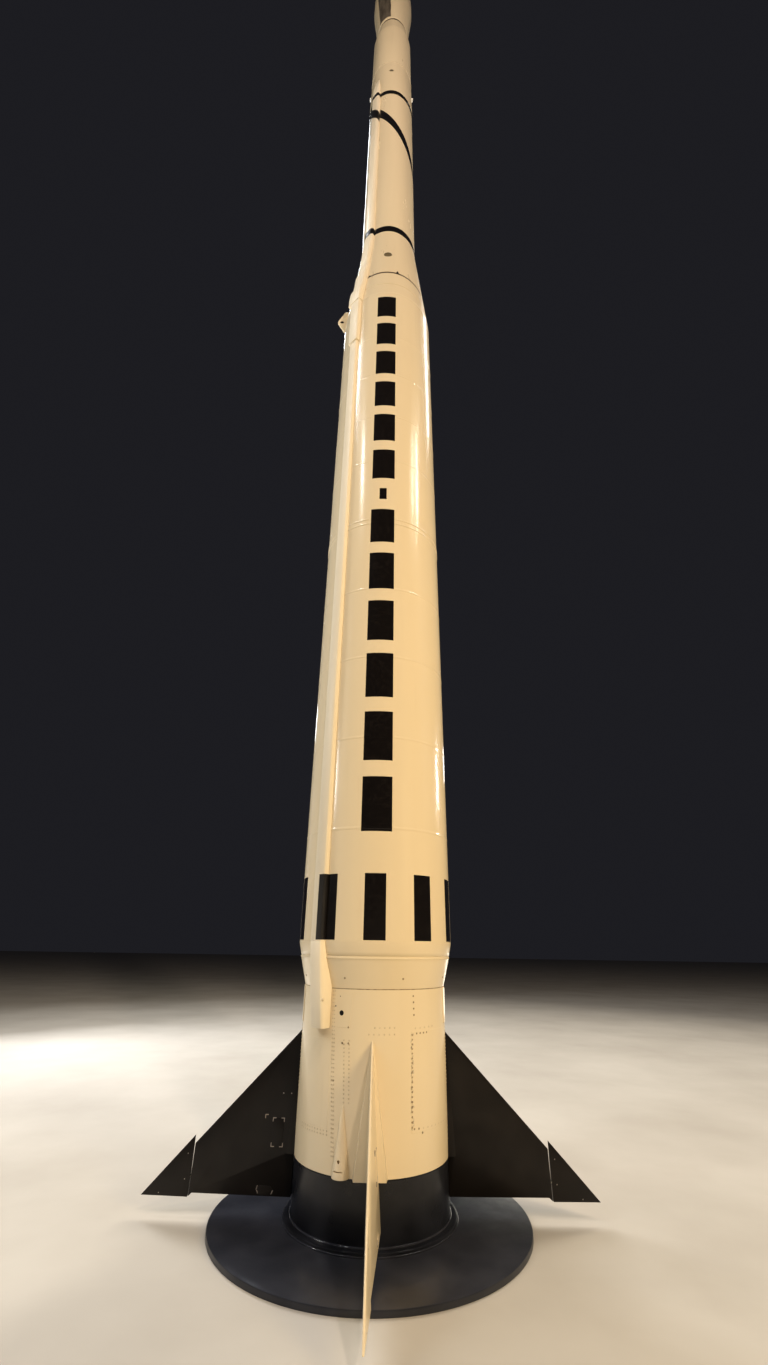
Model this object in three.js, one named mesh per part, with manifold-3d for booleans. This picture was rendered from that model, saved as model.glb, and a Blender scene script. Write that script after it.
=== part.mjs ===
// A four-stage solid-fuel space rocket with four fins, standing upright on a round steel display stand.
// Millimetres, +Z up. The origin is the centre of the stand's underside, on the floor.
// The front fin points along -Y. Azimuths are measured in degrees from the front, positive towards +X.
import * as THREE from "three";
import { ConvexGeometry } from "three/addons/geometries/ConvexGeometry.js";
import { mergeVertices } from "three/addons/utils/BufferGeometryUtils.js";
import Module from "manifold-3d";

const wasm = await Module();
wasm.setup();

// Driving dimensions of the round body: radii, then heights above the floor
const BASE_RADIUS = 508;
const FIRST_RADIUS = 571.5;
const SECOND_RADIUS = 400;
const THIRD_RADIUS = 395;
const WAIST_RADIUS = 330;
const SHIELD_RADIUS = 438;
const Z = {
  plateTop: 30,
  baseBottom: 346,
  baseTop: 1310,
  ringBottom: 1484,
  skirtBottom: 1496,
  motorBottom: 1590,
  motorTop: 9060,
  separation: 9630,
  secondBottom: 10920,
  secondTop: 15770,
  thirdBottom: 17240,
  thirdTop: 19180,
  waist: 19910,
  shieldFull: 21300,
  noseStart: 21900,
  capStart: 22860,
  tip: 23050,
};
const SIDES = 96; // facets of every round body
const SEAT = 0.4; // gap between a piece and the curved skin that it sits on

// Stand
const PLATE_RADIUS = 1007;
const PLATE_CHAMFER = 5;
const DRUM_RADIUS = 506;
const FOOT_RING = { inner: 506.5, outer: 553, height: 22, chamfer: 10 };

// Fins: leading edge line and bottom edge
const FIN = {
  rootRadius: BASE_RADIUS + SEAT,
  rootTop: 1021,
  tipRadius: 1170,
  tipTop: 369,
  bottom: 123,
  toe: 106,
  toeLength: 20,
};
// A wedge section that thickens downwards: half width of the edge, then growth per millimetre to each side
const WEDGE = { edgeHalf: 5, left: 0.018, right: 0.069 };
// The fairing at a fin's root: two broad low facets, and a steeper one that meets the fin on its left
const FAIRING = { halfWidth: 104, chamfer: 8, depth: 40, top: 1012, topHalf: 7, topDepth: 4, buried: 25 };
const FILLET = { half: 46, low: 38, high: 46, top: 985, topHalf: 7, topDepth: 7 };

// Tip controls: the steering surfaces at the fins' outer ends, each on one radial shaft
const TIP = { inner: 1176, outer: 1481, top: 412, bottom: 103 };
const SHAFT = { radius: 8, clearance: 0.6, height: 200, buried: 50, endPlay: 4, reach: 60, sides: 24 };

const WHITE = new THREE.MeshStandardMaterial({ color: 0xe9e2d0, roughness: 0.35, metalness: 0.05 });
const BLACK = new THREE.MeshStandardMaterial({ color: 0x15120f, roughness: 0.5, metalness: 0.05 });
const STAND_BLACK = new THREE.MeshStandardMaterial({ color: 0x1b1b1f, roughness: 0.4, metalness: 0.2 });
const DARK_GREY = new THREE.MeshStandardMaterial({ color: 0x4a443c, roughness: 0.6, metalness: 0.1 });

const rocket = new THREE.Group();

// A closed three.js geometry as a solid that can be cut and joined
function solidOf(geometry) {
  const bare = geometry.clone();
  bare.deleteAttribute("normal");
  bare.deleteAttribute("uv");
  const merged = mergeVertices(bare, 1e-3);
  return new wasm.Manifold(
    new wasm.Mesh({
      numProp: 3,
      vertProperties: merged.getAttribute("position").array,
      triVerts: new Uint32Array(merged.index.array),
    }),
  );
}

function geometryOf(solid) {
  const mesh = solid.getMesh();
  const geometry = new THREE.BufferGeometry();
  geometry.setAttribute("position", new THREE.BufferAttribute(new Float32Array(mesh.vertProperties), 3));
  geometry.setIndex(new THREE.BufferAttribute(new Uint32Array(mesh.triVerts), 1));
  geometry.computeVertexNormals();
  return geometry;
}

// A body of revolution about the rocket's axis from [radius, height] points, bottom first
function turned(profile, sides = SIDES) {
  const points = profile.map(([radius, height]) => new THREE.Vector2(radius, height));
  return new THREE.LatheGeometry(points, sides).rotateX(Math.PI / 2);
}

// The same, closed by flat ends on the axis
function turnedSolid(profile, sides = SIDES) {
  const low = profile[0][1];
  const high = profile[profile.length - 1][1];
  return turned([[0, low], ...profile, [0, high]], sides);
}

// A flat outline in plan, given as [x, y] points, raised from one height to another
function raised(outline, low, high) {
  const shape = new THREE.Shape(outline.map(([x, y]) => new THREE.Vector2(x, y)));
  const depth = high - low;
  return new THREE.ExtrudeGeometry(shape, { depth, bevelEnabled: false }).translate(0, 0, low);
}

// Puts a piece that is modelled at the front at its azimuth round the rocket
function addPiece(name, geometry, material, azimuth = 0) {
  const mesh = new THREE.Mesh(geometry, material);
  mesh.name = name;
  const place = new THREE.Group();
  place.rotation.z = THREE.MathUtils.degToRad(azimuth);
  place.add(mesh);
  rocket.add(place);
}

// Display stand: a floor plate, a drum that carries the rocket, and a welded ring at the drum's foot
function addStand() {
  const plate = [
    [PLATE_RADIUS, 0],
    [PLATE_RADIUS, Z.plateTop - PLATE_CHAMFER],
    [PLATE_RADIUS - PLATE_CHAMFER, Z.plateTop],
  ];
  addPiece("stand_floor_plate", turnedSolid(plate), STAND_BLACK);
  const drum = [[DRUM_RADIUS, Z.plateTop], [DRUM_RADIUS, Z.baseBottom]];
  addPiece("stand_drum", turnedSolid(drum), STAND_BLACK);
  const top = Z.plateTop + FOOT_RING.height;
  const ring = [
    [FOOT_RING.inner, Z.plateTop],
    [FOOT_RING.outer, Z.plateTop],
    [FOOT_RING.outer, top - FOOT_RING.chamfer],
    [FOOT_RING.outer - FOOT_RING.chamfer, top],
    [FOOT_RING.inner, top],
    [FOOT_RING.inner, Z.plateTop],
  ];
  addPiece("stand_foot_ring", turned(ring), STAND_BLACK);
}

// The profile of the tapered section between the base section and the first motor
const AFT_CONE = [
  [BASE_RADIUS, Z.baseTop],
  [512, Z.baseTop + 14],
  [553, Z.ringBottom],
  [556, Z.ringBottom],
  [556, Z.skirtBottom],
];
const AFT_SKIRT = [
  [554, Z.skirtBottom],
  [560, Z.skirtBottom + 30],
  [566, Z.skirtBottom + 60],
  [571, Z.motorBottom],
];

function addFirstStage() {
  addPiece("base_section", turnedSolid([[BASE_RADIUS, Z.baseBottom], [BASE_RADIUS, Z.baseTop]]), WHITE);
  addPiece("aft_cone", turnedSolid(AFT_CONE), WHITE);
  addPiece("aft_skirt", turnedSolid(AFT_SKIRT), WHITE);
  const motor = [[FIRST_RADIUS, Z.motorBottom], [FIRST_RADIUS, Z.motorTop]];
  addPiece("first_stage_motor", turnedSolid(motor), WHITE);
}

// Radius of the conical interstage at a height
function interstageRadius(height) {
  const share = (height - Z.motorTop) / (Z.secondBottom - Z.motorTop);
  return THREE.MathUtils.lerp(FIRST_RADIUS, SECOND_RADIUS, THREE.MathUtils.clamp(share, 0, 1));
}

function addInterstage() {
  const splitRadius = interstageRadius(Z.separation);
  addPiece("forward_cone", turnedSolid([[FIRST_RADIUS, Z.motorTop], [splitRadius, Z.separation]]), WHITE);
  const upper = [[splitRadius, Z.separation], [SECOND_RADIUS, Z.secondBottom]];
  addPiece("interstage", geometryOf(withPorts(turnedSolid(upper), PORTS_LOW)), WHITE);
}

// Thruster ports: four round recesses, and on the upper set a short nozzle stub at each side
const PORTS_LOW = { height: 10150, radius: 55, depth: 8, surface: 458 };
const PORTS_HIGH = { height: 16775, radius: 40, depth: 8, surface: 400 };
const PORT_SIDES = 20;
const PORT_CUT = 60; // how far the cutting rod reaches outside the skin
const STUB = { height: 16750, radius: 36, reach: 38, root: 2 };

function radialRod(radius, from, to, height, sides, azimuth = 0) {
  const rod = new THREE.CylinderGeometry(radius, radius, to - from, sides);
  rod.translate(0, -(from + to) / 2, height);
  return rod.rotateZ(THREE.MathUtils.degToRad(azimuth));
}

function withPorts(geometry, ports) {
  const from = ports.surface - ports.depth;
  const to = ports.surface + PORT_CUT;
  let solid = solidOf(geometry);
  for (const azimuth of [0, 90, 180, 270]) {
    solid = solid.subtract(solidOf(radialRod(ports.radius, from, to, ports.height, PORT_SIDES, azimuth)));
  }
  return solid;
}

function withStubs(solid, ports) {
  const from = ports.surface - ports.depth - STUB.root;
  const to = ports.surface + STUB.reach;
  for (const azimuth of [90, 270]) {
    solid = solid.add(solidOf(radialRod(STUB.radius, from, to, STUB.height, PORT_SIDES, azimuth)));
  }
  return solid;
}

const ADAPTER = [
  [SECOND_RADIUS + 8, Z.secondTop],
  [SECOND_RADIUS + 8, Z.secondTop + 300],
  [THIRD_RADIUS, Z.thirdBottom],
];

function addUpperStages() {
  const second = [[SECOND_RADIUS, Z.secondBottom], [SECOND_RADIUS, Z.secondTop]];
  addPiece("second_stage_motor", turnedSolid(second), WHITE);
  const ported = withPorts(turnedSolid(ADAPTER), PORTS_HIGH);
  addPiece("third_stage_adapter", geometryOf(withStubs(ported, PORTS_HIGH)), WHITE);
  const third = [[THIRD_RADIUS, Z.thirdBottom], [THIRD_RADIUS, Z.thirdTop]];
  addPiece("third_stage_motor", turnedSolid(third), WHITE);
  addPiece("waist_cone", turnedSolid([[THIRD_RADIUS, Z.thirdTop], [WAIST_RADIUS, Z.waist]]), WHITE);
}

// Payload heat shield: two half shells, split in the plane of the side fins, under a rounded nose cap
const SHIELD_WALL = 25;
const CAP_RADIUS = 115;
const NOSE_STEPS = 6;
const SPLIT_HALF = 0.2; // half of the gap between the two half shells
const CUT_MARGIN = 10; // how far the cutting space starts under the shells
const FOURTH_MOTOR = { radius: 254, height: 1300, sides: 48 }; // the heavy block inside the closed nose

function shieldOutline(inset) {
  return [
    [WAIST_RADIUS - inset, Z.waist],
    [SHIELD_RADIUS - inset, Z.shieldFull],
    [SHIELD_RADIUS - inset, Z.noseStart],
    [CAP_RADIUS - inset, Z.capStart],
  ];
}

function addHeatShield() {
  const inner = shieldOutline(SHIELD_WALL).reverse();
  const shell = solidOf(turned([...shieldOutline(0), ...inner, shieldOutline(0)[0]]));
  const reach = 2 * SHIELD_RADIUS;
  const halfOutline = [[-reach, -SPLIT_HALF], [-reach, -reach], [reach, -reach], [reach, -SPLIT_HALF]];
  const frontSpace = solidOf(raised(halfOutline, Z.waist - CUT_MARGIN, Z.tip));
  const front = shell.intersect(frontSpace);
  addPiece("heat_shield_front", geometryOf(front), WHITE);
  addPiece("heat_shield_rear", geometryOf(front), WHITE, 180);
  const cap = [];
  for (let step = 0; step <= NOSE_STEPS; step += 1) {
    const turn = (step / NOSE_STEPS) * (Math.PI / 2);
    cap.push([CAP_RADIUS * Math.cos(turn), Z.capStart + (Z.tip - Z.capStart) * Math.sin(turn)]);
  }
  cap[NOSE_STEPS][0] = 0;
  addPiece("nose_cap", turned([[0, Z.capStart], ...cap]), WHITE);
  const motor = [[FOURTH_MOTOR.radius, Z.waist], [FOURTH_MOTOR.radius, Z.waist + FOURTH_MOTOR.height]];
  addPiece("fourth_stage_motor", turnedSolid(motor, FOURTH_MOTOR.sides), DARK_GREY);
}

// Covers: long raised pieces on the skin, each hulled between sections and cut to the skin under it
const TUNNEL_AZIMUTHS = [
  { side: "left", azimuth: -41.25 },
  { side: "right", azimuth: 138.75 },
];
const COVER_GAP = 0.3; // between two covers in a row
const COVER_DEPTH = 110; // how far a cover's rough shape reaches in before it is cut to the skin

// Each cover runs upwards through sections of
// [height, left edge, right edge, outer radius, slope of the sides across, slope of the sides in depth]
const COVERS = {
  tunnel_foot: [
    [1078, -52, 64, 574, 14, 22],
    [1330, -52, 68, 604, 14, 28],
    [1470, -62, 52, 607, 12, 28],
    [1590, -70, 46, 607, 12, 28],
  ],
  first_stage_tunnel: [
    [1590, -70, 46, 607, 12, 28],
    [8240, -70, 46, 607, 12, 28],
  ],
  tunnel_head: [
    [8240, -86, 60, 622, 12, 20],
    [9060, -86, 66, 622, 12, 20],
  ],
  interstage_bump: [
    [9060, -126, 72, 630, 16, 22],
    [9200, -126, 78, 626, 18, 22],
    [9340, -120, 82, 616, 20, 24],
    [9420, -98, 84, 594, 22, 24],
    [9720, -90, 94, 572, 24, 26],
    [9900, -72, 88, 538, 26, 26],
    [10040, -72, 84, 526, 26, 26],
  ],
  interstage_tunnel: [
    [10040, -72, 84, 526, 26, 26],
    [10300, -80, 80, 506, 34, 28],
    [10600, -88, 77, 480, 37, 28],
    [10920, -84, 74, 452, 40, 28],
  ],
  second_stage_tunnel: [
    [10920, -84, 74, 452, 40, 28],
    [15770, -84, 82, 456, 44, 32],
  ],
  adapter_tunnel: [
    [15770, -92, 80, 458, 42, 30],
    [15850, -88, 80, 457, 42, 30],
    [16200, -80, 74, 446, 40, 26],
    [16560, -50, 50, 409, 24, 10],
  ],
};

// The round body as one solid, a little larger all over, that pieces on the skin are cut with
function makeSkin() {
  const profile = [
    [DRUM_RADIUS, Z.plateTop],
    [BASE_RADIUS, Z.baseBottom],
    ...AFT_CONE,
    ...AFT_SKIRT,
    [FIRST_RADIUS, Z.motorBottom],
    [FIRST_RADIUS, Z.motorTop],
    [SECOND_RADIUS, Z.secondBottom],
    [SECOND_RADIUS, Z.secondTop],
    ...ADAPTER,
    [THIRD_RADIUS, Z.thirdTop],
  ];
  return solidOf(turnedSolid(profile.map(([radius, height]) => [radius + SEAT, height])));
}

function coverSection([height, left, right, outer, across, deep]) {
  const corners = [
    [left, outer - COVER_DEPTH],
    [right, outer - COVER_DEPTH],
    [left, outer - deep],
    [right, outer - deep],
    [left + across, outer],
    [right - across, outer],
  ];
  return corners.map(([x, radius]) => new THREE.Vector3(x, -radius, height));
}

function makeCover(sections, skin) {
  const last = sections.length - 1;
  const [topHeight, ...topRest] = sections[last];
  const lowered = [...sections.slice(0, last), [topHeight - COVER_GAP, ...topRest]];
  let solid = null;
  for (let index = 0; index < last; index += 1) {
    const low = coverSection(lowered[index]);
    const high = coverSection(lowered[index + 1]);
    const span = solidOf(new ConvexGeometry([...low, ...high]));
    solid = solid ? solid.add(span) : span;
  }
  return geometryOf(solid.subtract(skin));
}

function addCovers(skin) {
  for (const [name, sections] of Object.entries(COVERS)) {
    const cover = makeCover(sections, skin);
    for (const { side, azimuth } of TUNNEL_AZIMUTHS) {
      addPiece(name + "_" + side, cover, WHITE, azimuth);
    }
  }
}

// A pointed fairing at the base section's foot, half round in section
const SPUR = {
  azimuth: -20,
  foot: 346,
  tip: 684,
  half: 54,
  outer: 556,
  tipHalf: 7,
  tipOuter: 516,
  root: BASE_RADIUS - 12,
  steps: 8,
};

function addSpur(skin) {
  const points = [];
  const ends = [
    [SPUR.foot, SPUR.half, SPUR.outer],
    [SPUR.tip, SPUR.tipHalf, SPUR.tipOuter],
  ];
  for (const [height, half, outer] of ends) {
    for (let step = 0; step <= SPUR.steps; step += 1) {
      const turn = (step / SPUR.steps) * Math.PI;
      const radius = SPUR.root + (outer - SPUR.root) * Math.sin(turn);
      points.push(new THREE.Vector3(half * Math.cos(turn), -radius, height));
    }
  }
  const spur = solidOf(new ConvexGeometry(points)).subtract(skin);
  addPiece("pointed_fairing", geometryOf(spur), WHITE, SPUR.azimuth);
}

// The hoisting lug: a flat plate with an eye, on the left of the forward cone
const LUG = { thickness: 24, eyeRadius: 20, eyeAt: [628, 9382], eyeSegments: 10 };
const LUG_OUTLINE = [
  [480, 9175],
  [592, 9175],
  [680, 9360],
  [684, 9398],
  [672, 9430],
  [588, 9618],
  [480, 9618],
];

function addLug(skin) {
  const shape = new THREE.Shape(LUG_OUTLINE.map(([x, y]) => new THREE.Vector2(x, y)));
  const eye = new THREE.Path();
  eye.absarc(LUG.eyeAt[0], LUG.eyeAt[1], LUG.eyeRadius, 0, 2 * Math.PI, true);
  shape.holes.push(eye);
  const settings = { depth: LUG.thickness, bevelEnabled: false, curveSegments: LUG.eyeSegments };
  const plate = new THREE.ExtrudeGeometry(shape, settings);
  // Drawn in plan with the radius along X, then stood up so that it points outwards at the front
  plate.translate(0, 0, -LUG.thickness / 2).rotateX(Math.PI / 2).rotateZ(-Math.PI / 2);
  addPiece("hoist_lug", geometryOf(solidOf(plate).subtract(skin)), WHITE, 270);
}

// Fins: one swept plate each, with the tapered fairing at its root
// How far below the leading edge a point lies, for an edge that falls outwards in a straight line
function belowFinEdge(radius, height) {
  const fall = (FIN.rootTop - FIN.tipTop) / (FIN.tipRadius - FIN.rootRadius);
  return FIN.rootTop - fall * (radius - FIN.rootRadius) - height;
}

function belowTipEdge(radius, height) {
  const fall = (TIP.top - TIP.bottom) / (TIP.outer - TIP.inner);
  return TIP.top - fall * (radius - TIP.inner) - height;
}

// A wedge-sectioned plate at the front from its [radius, height] corners
function wedge(corners, belowEdge) {
  const points = [];
  for (const [radius, height] of corners) {
    const below = belowEdge(radius, height);
    points.push(new THREE.Vector3(-WEDGE.edgeHalf - WEDGE.left * below, -radius, height));
    points.push(new THREE.Vector3(WEDGE.edgeHalf + WEDGE.right * below, -radius, height));
  }
  return solidOf(new ConvexGeometry(points));
}

// A hull that is alike on both sides, from points [half width, distance outside the skin, height]
function flankHull(points) {
  const corners = [];
  for (const [half, outside, height] of points) {
    corners.push(new THREE.Vector3(-half, -BASE_RADIUS - outside, height));
    corners.push(new THREE.Vector3(half, -BASE_RADIUS - outside, height));
  }
  return solidOf(new ConvexGeometry(corners));
}

function shaftRod(radius, from, to) {
  return solidOf(radialRod(radius, from, to, SHAFT.height, SHAFT.sides));
}

function makeFin(skin) {
  const plate = wedge(
    [
      [FIN.rootRadius, FIN.rootTop],
      [FIN.tipRadius, FIN.tipTop],
      [FIN.tipRadius, FIN.toe],
      [FIN.tipRadius - FIN.toeLength, FIN.bottom],
      [FIN.rootRadius, FIN.bottom],
    ],
    belowFinEdge,
  );
  const flank = flankHull([
    [FAIRING.halfWidth, -FAIRING.buried, Z.baseBottom],
    [FAIRING.halfWidth - FAIRING.chamfer, FAIRING.depth, Z.baseBottom],
    [FAIRING.topHalf, -FAIRING.buried, FAIRING.top],
    [FAIRING.topHalf, FAIRING.topDepth, FAIRING.top],
  ]);
  const fillet = flankHull([
    [FILLET.half, -FAIRING.buried, Z.baseBottom],
    [FILLET.half, FILLET.low, Z.baseBottom],
    [WEDGE.edgeHalf, FILLET.high, Z.baseBottom],
    [FILLET.topHalf, -FAIRING.buried, FILLET.top],
    [FILLET.topHalf, FILLET.topDepth, FILLET.top],
  ]);
  const boreFrom = TIP.inner - SHAFT.buried - SHAFT.endPlay;
  const bore = shaftRod(SHAFT.radius + SHAFT.clearance, boreFrom, TIP.outer);
  return geometryOf(plate.add(flank).add(fillet).subtract(skin).subtract(bore));
}

function makeTipControl() {
  const corners = [
    [TIP.inner, TIP.top],
    [TIP.outer, TIP.bottom],
    [TIP.inner, TIP.bottom],
  ];
  const shaft = shaftRod(SHAFT.radius, TIP.inner - SHAFT.buried, TIP.inner + SHAFT.reach);
  return geometryOf(wedge(corners, belowTipEdge).add(shaft));
}

const FINS = [
  { side: "front", azimuth: 0, paint: WHITE },
  { side: "right", azimuth: 90, paint: BLACK },
  { side: "rear", azimuth: 180, paint: WHITE },
  { side: "left", azimuth: 270, paint: BLACK },
];

function addFins(skin) {
  const fin = makeFin(skin);
  const tip = makeTipControl();
  for (const { side, azimuth, paint } of FINS) {
    addPiece("fin_" + side, fin, paint, azimuth);
    addPiece("tip_control_" + side, tip, paint, azimuth);
  }
}

addStand();
addFirstStage();
addInterstage();
addUpperStages();
addHeatShield();
const skin = makeSkin();
addCovers(skin);
addSpur(skin);
addLug(skin);
addFins(skin);

export default rocket;
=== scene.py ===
import bpy
import bmesh
import math
from mathutils import Matrix, Vector


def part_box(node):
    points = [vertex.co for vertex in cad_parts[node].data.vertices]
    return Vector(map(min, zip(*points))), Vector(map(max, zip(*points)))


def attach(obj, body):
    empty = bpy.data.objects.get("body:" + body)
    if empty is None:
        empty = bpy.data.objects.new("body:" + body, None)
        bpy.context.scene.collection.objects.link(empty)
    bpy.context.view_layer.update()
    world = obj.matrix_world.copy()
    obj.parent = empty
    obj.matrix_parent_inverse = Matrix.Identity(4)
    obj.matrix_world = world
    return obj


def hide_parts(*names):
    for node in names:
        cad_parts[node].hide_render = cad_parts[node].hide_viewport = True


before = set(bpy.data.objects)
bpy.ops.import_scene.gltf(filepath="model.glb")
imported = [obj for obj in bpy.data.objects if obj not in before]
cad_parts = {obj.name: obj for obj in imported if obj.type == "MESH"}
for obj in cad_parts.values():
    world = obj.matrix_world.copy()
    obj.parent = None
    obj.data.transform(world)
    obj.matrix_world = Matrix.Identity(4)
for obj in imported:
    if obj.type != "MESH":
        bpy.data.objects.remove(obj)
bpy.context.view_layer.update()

body = "rocket"
degree = math.pi / 180.0
whiteSlot = "white_paint"
blackSlot = "black_paint"
greySlot = "motor_grey"


def levels(node):
    # the lowest and the highest point of a node
    low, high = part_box(node)
    return low[2], high[2]


def outerRadius(node):
    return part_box(node)[1][0]


def nodeName(name):
    # firstStageMotor stands for the node first_stage_motor
    return "".join("_" + letter.lower() if letter.isupper() else letter for letter in name)


# Shaping, as by hand in edit mode

def deselectAll():
    if bpy.context.mode != "OBJECT":
        bpy.ops.object.mode_set(mode="OBJECT")
    bpy.ops.object.select_all(action="DESELECT")


def makeActive(piece):
    deselectAll()
    piece.select_set(True)
    bpy.context.view_layer.objects.active = piece


def nameAdded(name):
    piece = bpy.context.object
    piece.name = name
    piece.data.name = name
    return piece


def editPiece(piece):
    makeActive(piece)
    bpy.ops.object.mode_set(mode="EDIT")


def selectWhole():
    bpy.ops.mesh.select_all(action="SELECT")


def mergeDoubles():
    selectWhole()
    bpy.ops.mesh.remove_doubles(threshold=0.00002)


def closeEdit():
    # doubles are merged, the faces look outwards, and edit mode ends
    bpy.ops.mesh.select_mode(type="VERT")
    mergeDoubles()
    bpy.ops.mesh.normals_make_consistent(inside=False)
    bpy.ops.object.mode_set(mode="OBJECT")


def drawProfile(name, profile):
    # one corner of a plane is drawn out along the profile, which lies in the X-Z plane
    bpy.ops.mesh.primitive_plane_add(size=0.02)
    piece = nameAdded(name)
    editPiece(piece)
    mesh = bmesh.from_edit_mesh(piece.data)
    corner = mesh.verts[:][0]
    reached = corner.co.copy()
    for vert in mesh.verts:
        vert.select = vert != corner
    mesh.select_flush_mode()
    bmesh.update_edit_mesh(piece.data)
    bpy.ops.mesh.delete(type="VERT")
    selectWhole()
    for index, (radius, height) in enumerate(profile):
        spot = Vector((radius, 0.0, height))
        step = {"value": spot - reached}
        if index == 0:
            bpy.ops.transform.translate(**step)
        else:
            bpy.ops.mesh.extrude_region_move(TRANSFORM_OT_translate=step)
        reached = spot
    return piece


def spinProfile(name, profile, steps=240, start=0.0, sweep=360.0, close=False):
    # a full turn, or a sweep of it that starts at an azimuth and is closed at its ends
    piece = drawProfile(name, profile)
    bpy.ops.object.mode_set(mode="OBJECT")
    piece.data.transform(Matrix.Rotation((start - 90.0) * degree, 4, "Z"))
    editPiece(piece)
    selectWhole()
    bpy.ops.mesh.spin(steps=steps, angle=sweep * degree, center=(0, 0, 0), axis=(0, 0, 1))
    mergeDoubles()
    if close:
        bpy.ops.mesh.fill_holes(sides=0)
    closeEdit()
    return piece


def closedBody(name, outline, steps=240):
    low = outline[0][1]
    high = outline[-1][1]
    return spinProfile(name, [(0.0, low)] + outline + [(0.0, high)], steps)


def loftRings(name, rings):
    # a filled circle takes the first ring's outline, and its face is extruded from ring to ring
    bpy.ops.mesh.primitive_circle_add(vertices=len(rings[0]), radius=0.05, fill_type="NGON")
    piece = nameAdded(name)
    editPiece(piece)
    mesh = bmesh.from_edit_mesh(piece.data)
    for vert, spot in zip(mesh.verts, rings[0]):
        vert.co = spot
    bmesh.update_edit_mesh(piece.data)
    bpy.ops.mesh.select_mode(type="FACE")
    selectWhole()
    reached = [Vector(spot) for spot in rings[0]]
    for ring in rings[1:]:
        bpy.ops.mesh.extrude_region_move()
        mesh = bmesh.from_edit_mesh(piece.data)
        for vert in [vert for vert in mesh.verts if vert.select]:
            nearest = min(range(len(reached)), key=lambda index: (reached[index] - vert.co).length)
            vert.co = ring[nearest]
        bmesh.update_edit_mesh(piece.data)
        reached = [Vector(spot) for spot in ring]
    closeEdit()
    return piece


def applyModifier(piece, kind, **settings):
    makeActive(piece)
    modifier = piece.modifiers.new(kind.lower(), kind)
    for key, value in settings.items():
        setattr(modifier, key, value)
    bpy.ops.object.modifier_apply(modifier=modifier.name)


def softenEdges(piece, width=0.0015, segments=2, angle=30.0):
    limit = {"limit_method": "ANGLE", "angle_limit": angle * degree}
    applyModifier(piece, "BEVEL", width=width, segments=segments, **limit)


def joinOrCut(piece, other, operation):
    applyModifier(piece, "BOOLEAN", operation=operation, object=other, solver="EXACT")
    bpy.data.objects.remove(other)
    editPiece(piece)
    closeEdit()


def outwardAt(azimuth, height, radius):
    # a place on the skin: local X along the skin to the right, local Y up, local Z outwards
    turn = azimuth * degree
    across = Vector((math.cos(turn), math.sin(turn), 0.0))
    outward = Vector((math.sin(turn), -math.cos(turn), 0.0))
    placed = Matrix((across, Vector((0.0, 0.0, 1.0)), outward)).transposed().to_4x4()
    return Matrix.Translation(outward * radius + Vector((0.0, 0.0, height))) @ placed


def frontAndRear(azimuth, height, radius):
    return [outwardAt(azimuth + turn, height, radius) for turn in (0.0, 180.0)]


def addRod(name, azimuth, height, start, end, radius, sides=40):
    bpy.ops.mesh.primitive_cylinder_add(vertices=sides, radius=radius, depth=end - start)
    rod = nameAdded(name)
    rod.data.transform(outwardAt(azimuth, height, (start + end) / 2))
    return rod


def copyPiece(piece, name, placed=None):
    twin = piece.copy()
    twin.data = piece.data.copy()
    twin.name = name
    twin.data.name = name
    bpy.context.scene.collection.objects.link(twin)
    if placed:
        twin.data.transform(placed)
    return twin


def copyMany(name, pattern, places):
    # one pattern is copied to each place, and the copies are joined into one piece
    copies = [copyPiece(pattern, name, placed) for placed in places]
    deselectAll()
    for twin in copies:
        twin.select_set(True)
    bpy.context.view_layer.objects.active = copies[0]
    bpy.ops.object.join()
    bpy.data.objects.remove(pattern)
    return nameAdded(name)


def finishPiece(piece, material, rides=body, replaced=(), azimuth=0.0, angle=32.0):
    piece.data.transform(Matrix.Rotation(azimuth * degree, 4, "Z"))
    makeActive(piece)
    bpy.ops.object.shade_smooth_by_angle(angle=angle * degree)
    piece.data.materials.clear()
    piece.data.materials.append(material)
    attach(piece, rides)
    if replaced:
        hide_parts(*replaced)
    deselectAll()
    return piece


def weldBead(radius, height, rise, half=0.011, apart=0.005):
    # the first and last point lie on the plain skin, so that the shading of the skin stays even
    return [
        (radius, height - half - apart),
        (radius, height - half),
        (radius + rise * 0.7, height - half * 0.5),
        (radius + rise, height),
        (radius + rise * 0.7, height + half * 0.5),
        (radius, height + half),
        (radius, height + half + apart),
    ]


def groove(radius, height, depth, half, slope=0.0, apart=0.005):
    # slope is how much the radius grows with the height
    foot = half * 0.4
    steps = [(-half - apart, 0), (-half, 0), (-foot, depth), (foot, depth), (half, 0), (half + apart, 0)]
    return [(radius - sunk + slope * level, height + level) for level, sunk in steps]


# Shader helpers

def addNode(tree, kind, values=None, **settings):
    node = tree.nodes.new(kind)
    for key, value in settings.items():
        setattr(node, key, value)
    for key, value in (values or {}).items():
        if isinstance(value, bpy.types.NodeSocket):
            tree.links.new(value, node.inputs[key])
        else:
            node.inputs[key].default_value = value
    return node


def calc(tree, operation, *values):
    return addNode(tree, "ShaderNodeMath", dict(enumerate(values)), operation=operation).outputs[0]


def between(tree, value, low, high):
    above = calc(tree, "GREATER_THAN", value, low)
    below = calc(tree, "LESS_THAN", value, high)
    return calc(tree, "MULTIPLY", above, below)


def anyOf(tree, masks):
    total = masks[0]
    for mask in masks[1:]:
        total = calc(tree, "MAXIMUM", total, mask)
    return total


def cloud(tree, coords, size, detail=3.0, stretch=(1.0, 1.0, 1.0), rough=0.55):
    mapped = addNode(tree, "ShaderNodeMapping", {"Vector": coords, "Scale": stretch}).outputs[0]
    values = {"Vector": mapped, "Scale": size, "Detail": detail, "Roughness": rough}
    return addNode(tree, "ShaderNodeTexNoise", values).outputs["Fac"]


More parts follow.
